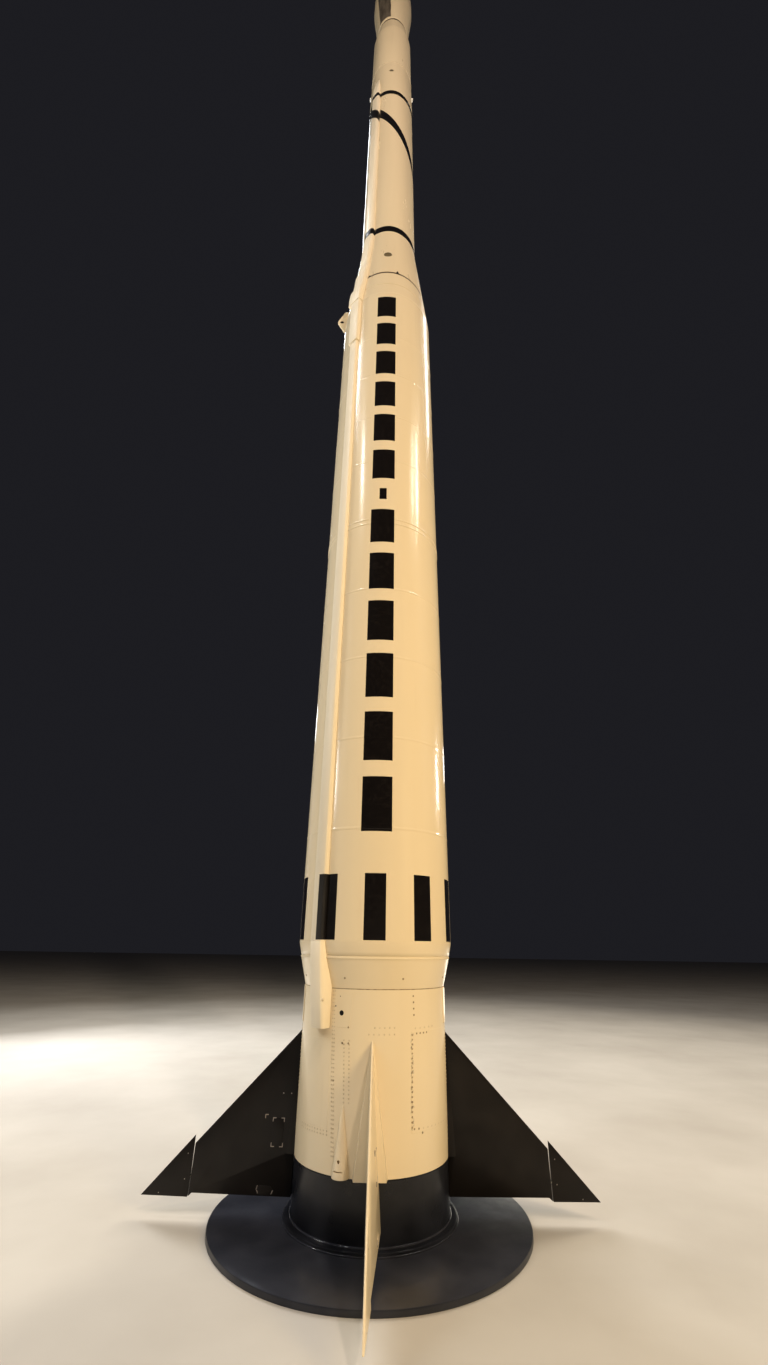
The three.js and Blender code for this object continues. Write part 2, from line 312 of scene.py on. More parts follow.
def span(tree, value, low, high, toLow=0.0, toHigh=1.0):
    values = {"Value": value, "From Min": low, "From Max": high, "To Min": toLow, "To Max": toHigh}
    return addNode(tree, "ShaderNodeMapRange", values).outputs[0]


def blend(tree, share, first, second):
    node = addNode(tree, "ShaderNodeMix", {0: share, 6: first, 7: second}, data_type="RGBA")
    return node.outputs[2]


def rgb(red, green, blue):
    return (red, green, blue, 1.0)


paint = {
    "white": rgb(0.80, 0.66, 0.435),
    "whiteShade": rgb(0.765, 0.625, 0.405),
    # cover and coverShade are paler than the white: painted light, for the light from the far left that falls
    # on the covers' faces and not on the skin beside them
    "cover": rgb(0.88, 0.765, 0.56),
    "coverShade": rgb(0.84, 0.725, 0.525),
    "rivet": rgb(0.70, 0.575, 0.38),
    "rivetSoiled": rgb(0.57, 0.45, 0.275),
    # screw and the tone below: soiled screw heads; the same two tones draw the painted shade in the joint
    # above the base section
    "screw": rgb(0.42, 0.31, 0.17),
    "screwSoilAndShade": rgb(0.21, 0.145, 0.075),
    "soil": rgb(0.27, 0.195, 0.12),
    "soilDark": rgb(0.07, 0.05, 0.03),
    "black": rgb(0.0055, 0.0042, 0.0036),
    "blackWorn": rgb(0.0105, 0.0082, 0.0068),
    "scuff": rgb(0.20, 0.17, 0.145),
    # the grey below, with scuff, paints the fin covers' corner bars: partly worn paint, partly a painted
    # glint
    "wearAndGlintGrey": rgb(0.30, 0.265, 0.23),
    "stand": rgb(0.0050, 0.0052, 0.0068),
    "standDust": rgb(0.016, 0.017, 0.022),
    "plateDust": rgb(0.030, 0.031, 0.038),
    "panelGrey": rgb(0.115, 0.095, 0.070),
    "panelShade": rgb(0.045, 0.036, 0.026),
    "portOlive": rgb(0.150, 0.115, 0.060),
    "portShade": rgb(0.085, 0.064, 0.033),
    # stub and stubShade are near-white: a painted highlight that stands for the glints on the two stubs
    "stub": rgb(0.93, 0.91, 0.87),
    "stubShade": rgb(0.93, 0.91, 0.87),
    # seam is painted shade for the shaded gaps in the joints between sections
    "seam": rgb(0.075, 0.046, 0.024),
    "steel": rgb(0.62, 0.60, 0.56),
    "steelDull": rgb(0.40, 0.38, 0.35),
    "floor": rgb(0.47, 0.44, 0.385),
    "floorShade": rgb(0.40, 0.37, 0.32),
}


def startMaterial(name):
    material = bpy.data.materials.new(name)
    material.use_nodes = True
    tree = material.node_tree
    tree.nodes.clear()
    coords = addNode(tree, "ShaderNodeTexCoord").outputs["Object"]
    return material, tree, coords


def endMaterial(tree, values):
    shader = addNode(tree, "ShaderNodeBsdfPrincipled", values)
    output = addNode(tree, "ShaderNodeOutputMaterial")
    tree.links.new(shader.outputs[0], output.inputs[0])


def paintBump(tree, coords, fine=210.0, fineRise=0.00006, wave=2.4, waveRise=0.0005):
    peel = cloud(tree, coords, fine, 2.0)
    peelBump = addNode(tree, "ShaderNodeBump", {"Height": peel, "Strength": 1.0, "Distance": fineRise})
    sway = cloud(tree, coords, wave, 1.0, (1.0, 1.0, 0.35))
    values = {"Height": sway, "Strength": 1.0, "Distance": waveRise, "Normal": peelBump.outputs[0]}
    return addNode(tree, "ShaderNodeBump", values).outputs[0]


def azimuthOf(tree, coords):
    parts = addNode(tree, "ShaderNodeSeparateXYZ", {"Vector": coords}).outputs
    turned = calc(tree, "ARCTAN2", parts[0], calc(tree, "MULTIPLY", parts[1], -1.0))
    return calc(tree, "MULTIPLY", turned, 180.0 / math.pi), parts[2]


# White enamel: a faint cloud of tone, thin streaks of soil that run down, and painted marks over it

def whiteEnamel(name, marks=None, stains=None, gloss=0.3, soil=0.5, tint="white", coat=0.35):
    material, tree, coords = startMaterial(name)
    azimuth, height = azimuthOf(tree, coords)
    tone = span(tree, cloud(tree, coords, 2.6, 3.0, (1.0, 1.0, 0.06)), 0.35, 0.7)
    colour = blend(tree, tone, paint[tint], paint[tint + "Shade"])
    streak = cloud(tree, coords, 9.0, 4.0, (1.0, 1.0, 0.05), 0.6)
    streakMask = calc(tree, "MULTIPLY", span(tree, streak, 0.6, 0.86), soil * 0.2)
    colour = blend(tree, streakMask, colour, paint["soil"])
    specks = calc(tree, "MULTIPLY", span(tree, cloud(tree, coords, 42.0, 2.0), 0.74, 0.82), soil * 0.2)
    colour = blend(tree, specks, colour, paint["soil"])
    if stains:
        colour = blend(tree, stains(tree, coords, azimuth, height), colour, paint["soilDark"])
    rough = span(tree, cloud(tree, coords, 5.0, 4.0, (1.0, 1.0, 0.2)), 0.3, 0.75, gloss - 0.03, gloss + 0.05)
    if marks:
        worn = span(tree, cloud(tree, coords, 26.0, 5.0), 0.5, 0.75)
        blackTone = blend(tree, worn, paint["black"], paint["blackWorn"])
        colour = blend(tree, marks(tree, azimuth, height), colour, blackTone)
    endMaterial(tree, {
        "Base Color": colour,
        "Roughness": rough,
        "Normal": paintBump(tree, coords),
        "Specular IOR Level": 0.55,
        "Coat Weight": coat,
        "Coat Roughness": 0.12,
    })
    return material


# Marks on the first stage: ten bars round the foot, and a column of plain blocks up the front
firstMarks = {
    "barPitch": 36.0,
    "barHalf": 7.6,
    "barLow": 1.597,
    "barHigh": 2.025,
    "coverShift": 1.3,
    "columnHalf": 11.5,
    "columns": [(2.315, 5.43, 0.5375), (5.826, 9.06, 0.5472)],
    "blockHigh": 0.41,
    "dashHalf": 3.6,
    "dash": (5.542, 5.689),
}


def firstStageMarks(tree, azimuth, height):
    m = firstMarks
    turn = calc(tree, "ADD", calc(tree, "DIVIDE", azimuth, m["barPitch"]), 0.5)
    offset = calc(tree, "SUBTRACT", calc(tree, "FRACT", turn), 0.5)
    bars = calc(tree, "LESS_THAN", calc(tree, "ABSOLUTE", offset), m["barHalf"] / m["barPitch"])
    bars = calc(tree, "MULTIPLY", bars, between(tree, height, m["barLow"], m["barHigh"]))
    aside = calc(tree, "ABSOLUTE", azimuth)
    column = calc(tree, "LESS_THAN", aside, m["columnHalf"])
    masks = [bars]
    for low, high, pitch in m["columns"]:
        count = calc(tree, "FRACT", calc(tree, "DIVIDE", calc(tree, "SUBTRACT", height, low), pitch))
        block = calc(tree, "LESS_THAN", count, m["blockHigh"] / pitch)
        block = calc(tree, "MULTIPLY", block, between(tree, height, low, high))
        masks.append(calc(tree, "MULTIPLY", block, column))
    dash = calc(tree, "LESS_THAN", aside, m["dashHalf"])
    masks.append(calc(tree, "MULTIPLY", dash, between(tree, height, *m["dash"])))
    return anyOf(tree, masks)


def firstCoverMarks(tree, azimuth, height):
    # over the raised covers the bars sit a little further right
    return firstStageMarks(tree, calc(tree, "SUBTRACT", azimuth, firstMarks["coverShift"]), height)


# Marks on the second stage: a ring at each end and one stripe that winds down between them
secondMarks = {
    "rings": [(10.92, 11.07), (15.705, 15.835)],
    "frontHeight": 14.585,
    "fallPerDegree": 0.01472,
    "turnHeight": 5.3,
    "stripeHalf": 0.168,
    "coverDrop": 0.17,
    "stripeLow": 11.0,
    "stripeHigh": 15.72,
}


def secondStageMarks(tree, azimuth, height, drop=0.0):
    m = secondMarks
    masks = [between(tree, height, low, high) for low, high in m["rings"]]
    fall = calc(tree, "MULTIPLY", azimuth, m["fallPerDegree"])
    centre = calc(tree, "SUBTRACT", m["frontHeight"] - drop, fall)
    stripes = []
    for turn in (0, 1):
        gap = calc(tree, "SUBTRACT", height, calc(tree, "SUBTRACT", centre, turn * m["turnHeight"]))
        stripes.append(calc(tree, "LESS_THAN", calc(tree, "ABSOLUTE", gap), m["stripeHalf"]))
    reach = between(tree, height, m["stripeLow"], m["stripeHigh"])
    masks.append(calc(tree, "MULTIPLY", anyOf(tree, stripes), reach))
    return anyOf(tree, masks)


def secondCoverMarks(tree, azimuth, height):
    # over the raised covers the stripe runs a little lower
    return secondStageMarks(tree, azimuth, height, secondMarks["coverDrop"])


# Soil along the screws of an access panel on the base section: (azimuth, half width, low, high, strength)
baseSoil = [
    (29.9, 1.7, 0.56, 1.065, 0.75),
]


def baseStains(tree, coords, azimuth, height):
    blotch = span(tree, cloud(tree, coords, 58.0, 3.0), 0.5, 0.66)
    masks = []
    for place, half, low, high, strength in baseSoil:
        aside = calc(tree, "ABSOLUTE", calc(tree, "SUBTRACT", azimuth, place))
        near = span(tree, aside, half * 0.3, half, strength, 0.0)
        masks.append(calc(tree, "MULTIPLY", near, between(tree, height, low, high)))
    return calc(tree, "MULTIPLY", anyOf(tree, masks), blotch)


def blackEnamel(name, deep, worn, gloss, coat, scuffs=0.0):
    material, tree, coords = startMaterial(name)
    tone = span(tree, cloud(tree, coords, 3.5, 5.0), 0.4, 0.75)
    colour = blend(tree, tone, paint[deep], paint[worn])
    dust = calc(tree, "MULTIPLY", span(tree, cloud(tree, coords, 30.0, 4.0), 0.6, 0.85), 0.35)
    colour = blend(tree, dust, colour, paint[worn])
    if scuffs:
        rubbed = span(tree, cloud(tree, coords, 16.0, 6.0, (1.0, 1.0, 0.5), 0.7), 0.68, 0.76, 0.0, scuffs)
        colour = blend(tree, rubbed, colour, paint["scuff"])
    rough = span(tree, cloud(tree, coords, 8.0, 4.0), 0.3, 0.75, gloss - 0.06, gloss + 0.12)
    endMaterial(tree, {
        "Base Color": colour,
        "Roughness": rough,
        "Normal": paintBump(tree, coords, 240.0, 0.00005, 4.0, 0.0004),
        "Specular IOR Level": 0.3,
        "Coat Weight": coat,
        "Coat Roughness": 0.15,
    })
    return material


def twoTone(name, light, dark, patches, grain, gloss, low=0.35, metal=False):
    # patches of two tones, with a finer grain in the gloss
    material, tree, coords = startMaterial(name)
    tone = span(tree, cloud(tree, coords, *patches), low, 1.0 - low)
    colour = blend(tree, tone, paint[light], paint[dark])
    rough = span(tree, cloud(tree, coords, grain), 0.3, 0.7, *gloss)
    values = {"Base Color": colour, "Roughness": rough}
    surface = {"Metallic": 1.0} if metal else {"Normal": paintBump(tree, coords)}
    endMaterial(tree, {**values, **surface})
    return material


# Paint that has gathered dirt round small heads, and the plain paint of panels
dirtyHeads = ((33.0,), 60.0, (0.4, 0.55))
plainPanel = ((11.0, 5.0, (1.0, 1.0, 0.25)), 18.0, (0.42, 0.6))

creamPaint = whiteEnamel("creamEnamel")
soiledPaint = twoTone("soiledRivetPaint", "rivet", "rivetSoiled", *dirtyHeads)
# soiled screw paint, which also draws the painted shade in the joint above the base section
screwDirtAndJointShade = twoTone("soiledScrewAndJointShadePaint", "screw", "screwSoilAndShade", *dirtyHeads)
basePaint = whiteEnamel("baseEnamel", stains=baseStains, gloss=0.36, soil=0.55)
finWhite = whiteEnamel("finEnamel", gloss=0.4, soil=0.7)
firstPaint = whiteEnamel("firstStageEnamel", marks=firstStageMarks, gloss=0.2, soil=0.35)
# the covers' paler tint is painted light: their faces catch a light that the skin beside them doesn't get
firstCoverPaintedLight = whiteEnamel("firstCoverPaintedLightEnamel", firstCoverMarks, None, 0.42, 0.35, "cover", 0.0)
plainCoverPaintedLight = whiteEnamel("coverPaintedLightEnamel", None, None, 0.42, 0.35, "cover", 0.0)
secondPaint = whiteEnamel("secondStageEnamel", marks=secondStageMarks, gloss=0.24, soil=0.35)
secondCoverPaintedLight = whiteEnamel("secondCoverPaintedLightEnamel", secondCoverMarks, None, 0.34, 0.35, "cover", 0.1)
finBlack = blackEnamel("finBlack", "black", "blackWorn", 0.42, 0.05, 0.1)
standBlack = blackEnamel("standBlack", "stand", "standDust", 0.3, 0.2)
plateBlack = blackEnamel("plateBlack", "standDust", "plateDust", 0.38, 0.2, 0.2)
weldBlack = blackEnamel("weldBlack", "standDust", "plateDust", 0.16, 1.0)
# black that stands for the shade inside holes and recesses: painted shade
recessShadeBlack = blackEnamel("recessShadeBlack", "black", "black", 0.7, 0.0)
shieldPanel = twoTone("shieldPanelGrey", "panelGrey", "panelShade", *plainPanel)
portGrey = twoTone("portOliveGrey", "portOlive", "portShade", *plainPanel)
# the dark brown of the joint strips is painted shade of their gaps
jointShadeBrown = twoTone("jointShadeBrown", "seam", "soilDark", *plainPanel)
# near-white paint on the stubs: a painted highlight for their glints
stubGlintWhite = whiteEnamel("stubGlintEnamel", None, None, 0.25, 0.1, "stub")
# grey corner bars on the fin covers: partly worn paint, partly a painted glint
finWearAndGlint = twoTone("finWearAndGlintGrey", "scuff", "wearAndGlintGrey", *plainPanel)
screwSteel = twoTone("screwSteel", "steel", "steelDull", (60.0,), 90.0, (0.22, 0.4), 0.3, True)
print("materials ready")


# Display stand

stand = {
    "plateEdge": 0.006,
    "groove": (0.005, 0.003, 0.002),
    "weldRadius": 0.0075,
    "weldRipple": 0.0045,
    "seamRadius": 0.0022,
    "seamAzimuth": 118.0,
}


def makeWeldRing(name, radius, height, thickness):
    sizes = {"major_radius": radius, "minor_radius": thickness, "major_segments": 520, "minor_segments": 10}
    bpy.ops.mesh.primitive_torus_add(location=(0, 0, height), **sizes)
    ring = nameAdded(name)
    bpy.ops.object.transform_apply(location=True)
    ripple = bpy.data.textures.new(name + "Ripple", "CLOUDS")
    ripple.noise_scale = 0.011
    applyModifier(ring, "DISPLACE", texture=ripple, texture_coords="LOCAL", strength=stand["weldRipple"])
    return finishPiece(ring, weldBlack, angle=60.0)


def makeStand():
    nodes = ("stand_floor_plate", "stand_drum", "stand_foot_ring")
    rim, radius, outer = (outerRadius(node) for node in nodes)
    top, drumTop, crown = (levels(node)[1] for node in nodes)
    edge = stand["plateEdge"]
    outline = [(rim - 0.002, 0.0), (rim, 0.002), (rim, top - edge)]
    outline += [(rim - edge * 0.3, top - edge * 0.3), (rim - edge, top)]
    finishPiece(closedBody("standPlate", outline), plateBlack, replaced=("stand_floor_plate",))
    drop, depth, half = stand["groove"]
    outline = [(radius, top), *groove(radius, drumTop - drop, depth, half), (radius, drumTop)]
    finishPiece(closedBody("standDrum", outline), standBlack, replaced=("stand_drum",))
    outline = [(radius, top), (outer, top), (outer, crown - 0.010)]
    outline += [(outer - 0.003, crown - 0.004), (outer - 0.010, crown), (radius + 0.014, crown)]
    outline += [(radius + 0.008, crown - 0.002), (radius, crown - 0.002), (radius, top)]
    finishPiece(spinProfile("standFootRing", outline), standBlack, replaced=("stand_foot_ring",))
    makeWeldRing("standDrumWeld", radius + 0.004, crown + 0.001, stand["weldRadius"])
    makeWeldRing("standRingWeld", outer + 0.001, top + 0.003, stand["weldRadius"] * 0.75)
    length = drumTop - crown - 0.02
    bpy.ops.mesh.primitive_cylinder_add(vertices=12, radius=stand["seamRadius"], depth=length)
    seam = nameAdded("standDrumSeam")
    seam.data.transform(Matrix.Translation((0, -radius, (drumTop + crown) / 2)))
    finishPiece(seam, standBlack, azimuth=stand["seamAzimuth"])


makeStand()
print("stand ready")


# Round body, from the base section to the nose cap

baseRadius, firstRadius = outerRadius("base_section"), outerRadius("first_stage_motor")
secondRadius, thirdRadius = outerRadius("second_stage_motor"), outerRadius("third_stage_motor")
baseLow, baseTop = levels("base_section")
motorLow = levels("first_stage_motor")[0]
motorTop, splitHeight = levels("forward_cone")
secondLow, secondTop = levels("second_stage_motor")
thirdLow, thirdTop = levels("third_stage_motor")
waistHeight = levels("waist_cone")[1]

roundBody = {
    "firstSeams": [2.340, 3.045, 3.768, 4.469, 5.235, 5.29, 6.08, 6.75, 7.46, 8.17],
    "firstSeamRise": {5.235: 0.0042, 5.29: 0.0042},
    "seamRise": 0.0019,
    "coneSeam": 9.31,
    # the next four are heights of the dark joint strips, painted shade of the gaps
    "splitJointShade": (9.608, 9.645),
    "baseJointShade": (1.3030, 1.3085),
    "skirtJointShade": (1.4962, 1.5020),
    "waistJointShade": (19.800, 19.909),
    "adapterRadius": 0.408,
    "waistRadius": 0.330,
    "lipHeight": 0.30,
}
aftConeLine = [(0.508, 1.310), (0.512, 1.324), (0.553, 1.484), (0.556, 1.4845), (0.5565, 1.488)]
aftConeLine += [(0.5545, 1.4955), (0.5525, 1.496)]
aftSkirtLine = [(0.5525, 1.496), (0.5525, 1.5018), (0.5545, 1.503), (0.560, 1.526), (0.566, 1.556)]
aftSkirtLine += [(0.570, 1.576), (0.5712, 1.590)]
adapterLip = secondTop + roundBody["lipHeight"]
skinLine = (
    [(0.508, baseLow)]
    + aftConeLine
    + aftSkirtLine
    + [(firstRadius, motorLow), (firstRadius, motorTop), (secondRadius, secondLow), (secondRadius, secondTop)]
    + [(roundBody["adapterRadius"], secondTop), (roundBody["adapterRadius"], adapterLip)]
    + [(thirdRadius, thirdLow), (thirdRadius, thirdTop), (roundBody["waistRadius"], waistHeight)]
)


def radiusOn(outline, height):
    for (lowRadius, low), (highRadius, high) in zip(outline, outline[1:]):
        if low <= height <= high and high > low:
            return lowRadius + (highRadius - lowRadius) * (height - low) / (high - low)
    return outline[-1][0]


def skinRadius(height):
    return radiusOn(skinLine, height)


def makeSection(name, outline, material=creamPaint, angle=32.0, steps=240):
    # a round section in place of its node
    section = closedBody(name, outline, steps)
    finishPiece(section, material, replaced=(nodeName(name),), angle=angle)


ports = {
    "low": {"height": 10.150, "radius": 0.055, "surface": 0.459},
    "high": {"height": 16.775, "radius": 0.040, "surface": 0.400},
    "cut": 0.008,
    "cover": 0.003,
    "coverShare": 0.94,
    "stubHeight": 16.75,
    "stubReach": 0.028,
    "stubRadius": 0.030,
    "stubWall": 0.008,
    "stubDepth": 0.02,
}
quarters = (0.0, 90.0, 180.0, 270.0)


def cutPorts(piece, name):
    port = ports[name]
    for azimuth in quarters:
        start, end = port["surface"] - ports["cut"], port["surface"] + 0.06
        rod = addRod(name + "PortCutter", azimuth, port["height"], start, end, port["radius"])
        joinOrCut(piece, rod, "DIFFERENCE")


def makeCup(name, azimuth, height, surface, radius, depth, material, slotName):
    # an open cup: its floor, its wall and a narrow lip that stands on the skin
    bpy.ops.mesh.primitive_circle_add(vertices=48, radius=radius * 0.3, fill_type="NGON")
    cup = nameAdded(name)
    editPiece(cup)
    selectWhole()
    steps = [(0.72, 0.0008), (0.94, 0.0008), (0.97, depth * 0.9)]
    steps += [(1.0, depth + 0.001), (1.05, depth + 0.0015), (1.08, depth - 0.003)]
    size, rise = 0.3, 0.0
    for scale, level in steps:
        bpy.ops.mesh.extrude_region_move(TRANSFORM_OT_translate={"value": (0, 0, level - rise)})
        share = scale / size
        bpy.ops.transform.resize(value=(share, share, 1.0), center_override=(0, 0, 0))
        size, rise = scale, level
    bpy.ops.mesh.delete(type="ONLY_FACE")
    closeEdit()
    cup.data.transform(outwardAt(azimuth, height, surface - depth))
    finishPiece(cup, material, angle=40.0)


def makeCups(name, level):
    # the covers that close the ports, one in each hole
    port = ports[level]
    for index, azimuth in enumerate(quarters):
        surface = skinRadius(port["height"])
        sizes = (port["height"], surface, port["radius"] * ports["coverShare"], ports["cover"])
        makeCup(name + str(index), azimuth, *sizes, portGrey, greySlot)


def makeJointShade(name, heights, lift, buried=0.004, material=jointShadeBrown):
    # a dark strip in the joint between two sections, from the lower to the upper height: the real dark joint,
    # drawn taller as painted shade of the gap
    low, high = heights
    outline = [(skinRadius(low) + lift, low), (skinRadius(high) + lift, high)]
    outline += [(skinRadius(high) - buried, high), (skinRadius(low) - buried, low), outline[0]]
    finishPiece(spinProfile(name, outline), material)


def makeLowerBody():
    outline = [(baseRadius, baseLow), (baseRadius, baseLow + 0.03)]
    low, high = roundBody["baseJointShade"]
    outline += [(baseRadius, baseTop - 0.03), (baseRadius, low), (baseRadius - 0.003, low + 0.0005)]
    outline += [(baseRadius - 0.003, high - 0.0005), (baseRadius, high), (baseRadius, baseTop)]
    makeSection("baseSection", outline, basePaint)
    # the base joint's dark strip, painted shade of its gap, in the soiled screw paint
    makeJointShade("baseJointShade", roundBody["baseJointShade"], -0.0015, 0.004, screwDirtAndJointShade)
    makeJointShade("skirtJointShade", roundBody["skirtJointShade"], -0.004, 0.008)
    makeSection("aftCone", aftConeLine)
    makeSection("aftSkirt", aftSkirtLine, angle=50.0)
    outline = [(firstRadius, motorLow)]
    for height in roundBody["firstSeams"]:
        rise = roundBody["firstSeamRise"].get(height, roundBody["seamRise"])
        outline += weldBead(firstRadius, height, rise)
    makeSection("firstStageMotor", outline + [(firstRadius, motorTop)], firstPaint)


def makeInterstage():
    splitRadius = skinRadius(splitHeight)
    seam = roundBody["coneSeam"]
    slope = (splitRadius - firstRadius) / (splitHeight - motorTop)
    outline = [(firstRadius, motorTop)] + groove(skinRadius(seam), seam, 0.0035, 0.009, slope)
    low, high = roundBody["splitJointShade"]
    outline += [(skinRadius(low), low), (skinRadius(low) - 0.002, low + 0.001)]
    outline += [(splitRadius - 0.002, splitHeight)]
    makeSection("forwardCone", outline)
    port = ports["low"]["height"]
    outline = [(splitRadius - 0.002, splitHeight)]
    outline += [(skinRadius(high) - 0.002, high - 0.001), (skinRadius(high), high)]
    outline += [(skinRadius(height), height) for height in (9.75, port - 0.09, port + 0.09, 10.86)]
    outline += [(secondRadius + 0.004, secondLow - 0.03), (secondRadius + 0.004, secondLow - 0.006)]
    outline += [(secondRadius - 0.002, secondLow)]
    cone = closedBody("interstage", outline, 200)
    cutPorts(cone, "low")
    finishPiece(cone, creamPaint, replaced=("interstage",), angle=20.0)
    makeJointShade("separationJointShade", roundBody["splitJointShade"], -0.0008)
    makeCups("interstagePort", "low")


def makeUpperBody():
    makeSection("secondStageMotor", [(secondRadius, secondLow), (secondRadius, secondTop)], secondPaint)
    wide = roundBody["adapterRadius"]
    port = ports["high"]["height"]
    outline = [(wide - 0.003, secondTop), (wide, secondTop + 0.003), (wide, adapterLip)]
    outline += [(skinRadius(height), height) for height in (port - 0.08, port + 0.08, thirdLow - 0.02)]
    outline += [(thirdRadius + 0.003, thirdLow - 0.018), (thirdRadius + 0.003, thirdLow - 0.003)]
    outline += [(thirdRadius - 0.003, thirdLow)]
    adapter = closedBody("thirdStageAdapter", outline, 200)
    cutPorts(adapter, "high")
    finishPiece(adapter, secondPaint, replaced=("third_stage_adapter",), angle=20.0)
    makeCups("adapterPort", "high")
    for index, azimuth in enumerate((90.0, 270.0)):
        start, end = ports["high"]["surface"] - 0.02, secondRadius + ports["stubReach"]
        height, radius = ports["stubHeight"], ports["stubRadius"]
        stub = addRod("adapterStub" + str(index), azimuth, height, start, end, radius)
        editPiece(stub)
        bpy.ops.mesh.select_all(action="DESELECT")
        mesh = bmesh.from_edit_mesh(stub.data)
        tip = max(mesh.faces, key=lambda face: face.calc_center_median().xy.length)
        tip.select = True
        bmesh.update_edit_mesh(stub.data)
        bpy.ops.mesh.inset(thickness=ports["stubWall"])
        inwards = -ports["stubDepth"] if azimuth < 180.0 else ports["stubDepth"]
        bpy.ops.mesh.extrude_region_move(TRANSFORM_OT_translate={"value": (inwards, 0, 0)})
        bpy.ops.object.mode_set(mode="OBJECT")
        softenEdges(stub, 0.002)
        # the stub's near-white paint is a painted highlight for its glint
        finishPiece(stub, stubGlintWhite)
    makeSection("thirdStageMotor", [(thirdRadius, thirdLow), (thirdRadius, thirdTop)])
    waist = roundBody["waistRadius"]
    outline = [(thirdRadius - 0.002, thirdTop), (thirdRadius, thirdTop + 0.002)]
    outline += [(thirdRadius, thirdTop + 0.02)]
    low, high = roundBody["waistJointShade"]
    outline += [(skinRadius(height), height) for height in (thirdTop + 0.06, 19.5, 19.8, low)]
    outline += [(skinRadius(low) - 0.002, low + 0.001), (waist - 0.002, waistHeight)]
    makeSection("waistCone", outline)
    makeJointShade("waistJointShade", (low, high), 0.0008)


makeLowerBody()
makeInterstage()
makeUpperBody()
print("round body ready")


# Payload heat shield: two half shells with a gap between them, a dark panel on the front one, and the cap

shield = {
    "wall": 0.025,
    "gapDegrees": 0.22,
    "outline": [(0.331, 19.910), (0.336, 19.916), (0.3385, 19.945), (0.4275, 21.14), (0.4355, 21.25)]
    + [(0.438, 21.36), (0.438, 21.84), (0.4365, 21.90), (0.4290, 21.95), (0.1150, 22.8620)],
    "panelSpan": (-51.5, -6.5),
    "panelHeights": (19.985, 21.80),
    "panelRise": 0.0025,
    "rim": {"low": 19.926, "high": 19.950, "rise": 0.0006},
    "capRadius": 0.1150,
}


def shieldRadius(height):
    return radiusOn(shield["outline"], height)


def arcRing(azimuths, inner, outer, height):
    # a ring of points round a strip that lies on the skin: outer side from left to right, inner side back
    ring = []
    for radius, order in ((outer, azimuths), (inner, azimuths[::-1])):
        for azimuth in order:
            turn = azimuth * degree
            ring.append((radius * math.sin(turn), -radius * math.cos(turn), height))
    return ring


def skinPatch(name, spans, radiusAt, rise, steps, buried=0.002):
    # a thin plate on the skin: spans are (height, left azimuth, right azimuth), from the bottom upwards
    rings = []
    for height, left, right in spans:
        azimuths = [left + (right - left) * step / steps for step in range(steps + 1)]
        radius = radiusAt(height)
        rings.append(arcRing(azimuths, radius - buried, radius + rise, height))
    patch = loftRings(name, rings)
    softenEdges(patch, rise * 0.35, 1)
    return patch


def makeHeatShield():
    outer = shield["outline"]
    inner = [(radius - shield["wall"], height) for radius, height in reversed(outer)]
    gap = shield["gapDegrees"]
    profile = outer + inner + [outer[0]]
    for name, middle in (("heatShieldFront", 0.0), ("heatShieldRear", 180.0)):
        half = spinProfile(name, profile, 120, middle - 90.0 + gap, 180.0 - 2 * gap, close=True)
        finishPiece(half, creamPaint, replaced=(nodeName(name),), angle=24.0)
    rim = shield["rim"]
    lowRadius, highRadius = shieldRadius(rim["low"]), shieldRadius(rim["high"])
    outline = [(lowRadius - 0.002, rim["low"]), (lowRadius + rim["rise"], rim["low"])]
    outline += [(highRadius + rim["rise"], rim["high"]), (highRadius - 0.002, rim["high"])]
    finishPiece(spinProfile("shieldRim", outline + [outline[0]]), creamPaint)
    left, right = shield["panelSpan"]
    low, high = shield["panelHeights"]
    heights = [low, 20.2, 20.45, 20.7, 20.95, 21.14, 21.25, 21.36, high - 0.12, high - 0.04, high]
    insets = [0.0, 0.5, -0.4, 0.6, 0.0, 0.5, 0.2, -0.3, 0.0, 2.0, 7.0]
    spans = [(height, left + inset, right - inset) for height, inset in zip(heights, insets)]
    # a pale edging shows at the panel's foot and along both sides
    edge = 0.012
    wider = [(height - edge if height == low else height, a - 1.6, b + 1.6) for height, a, b in spans]
    edging = skinPatch("shieldPanelEdging", wider, shieldRadius, shield["panelRise"], 12)
    finishPiece(edging, creamPaint)
    inside = spans[:-1] + [(high - edge, left + 6.0, right - 6.0)]
    panel = skinPatch("shieldPanel", inside, shieldRadius, shield["panelRise"] + 0.0015, 12)
    finishPiece(panel, shieldPanel)
    seat = outwardAt(left - 1.0, low + 0.03, shieldRadius(low + 0.03))
    turns = [index * math.pi / 8 for index in range(16)]
    rings = []
    for size, lift in ((0.013, -0.002), (0.013, 0.004), (0.010, 0.007), (0.004, 0.0085)):
        rings.append([seat @ Vector((size * math.cos(t), size * math.sin(t), lift)) for t in turns])
    finishPiece(loftRings("shieldPanelKnob", rings), screwSteel)
    base, tip = levels("nose_cap")
    radius = shield["capRadius"]
    outline = [(radius - 0.003, base), (radius, base + 0.002)]
    for step in range(1, 13):
        turn = step / 13 * 90.0 * degree
        outline.append((radius * math.cos(turn), base + 0.002 + (tip - base - 0.002) * math.sin(turn)))
    outline.append((0.004, tip))
    makeSection("noseCap", outline, steps=96)


makeHeatShield()
print("heat shield ready")


# Covers that run up both sides: each is drawn from section to section, on its own stretch of skin.
# Sections: height, left edge, right edge, distance of the face, slope of the sides across and in depth

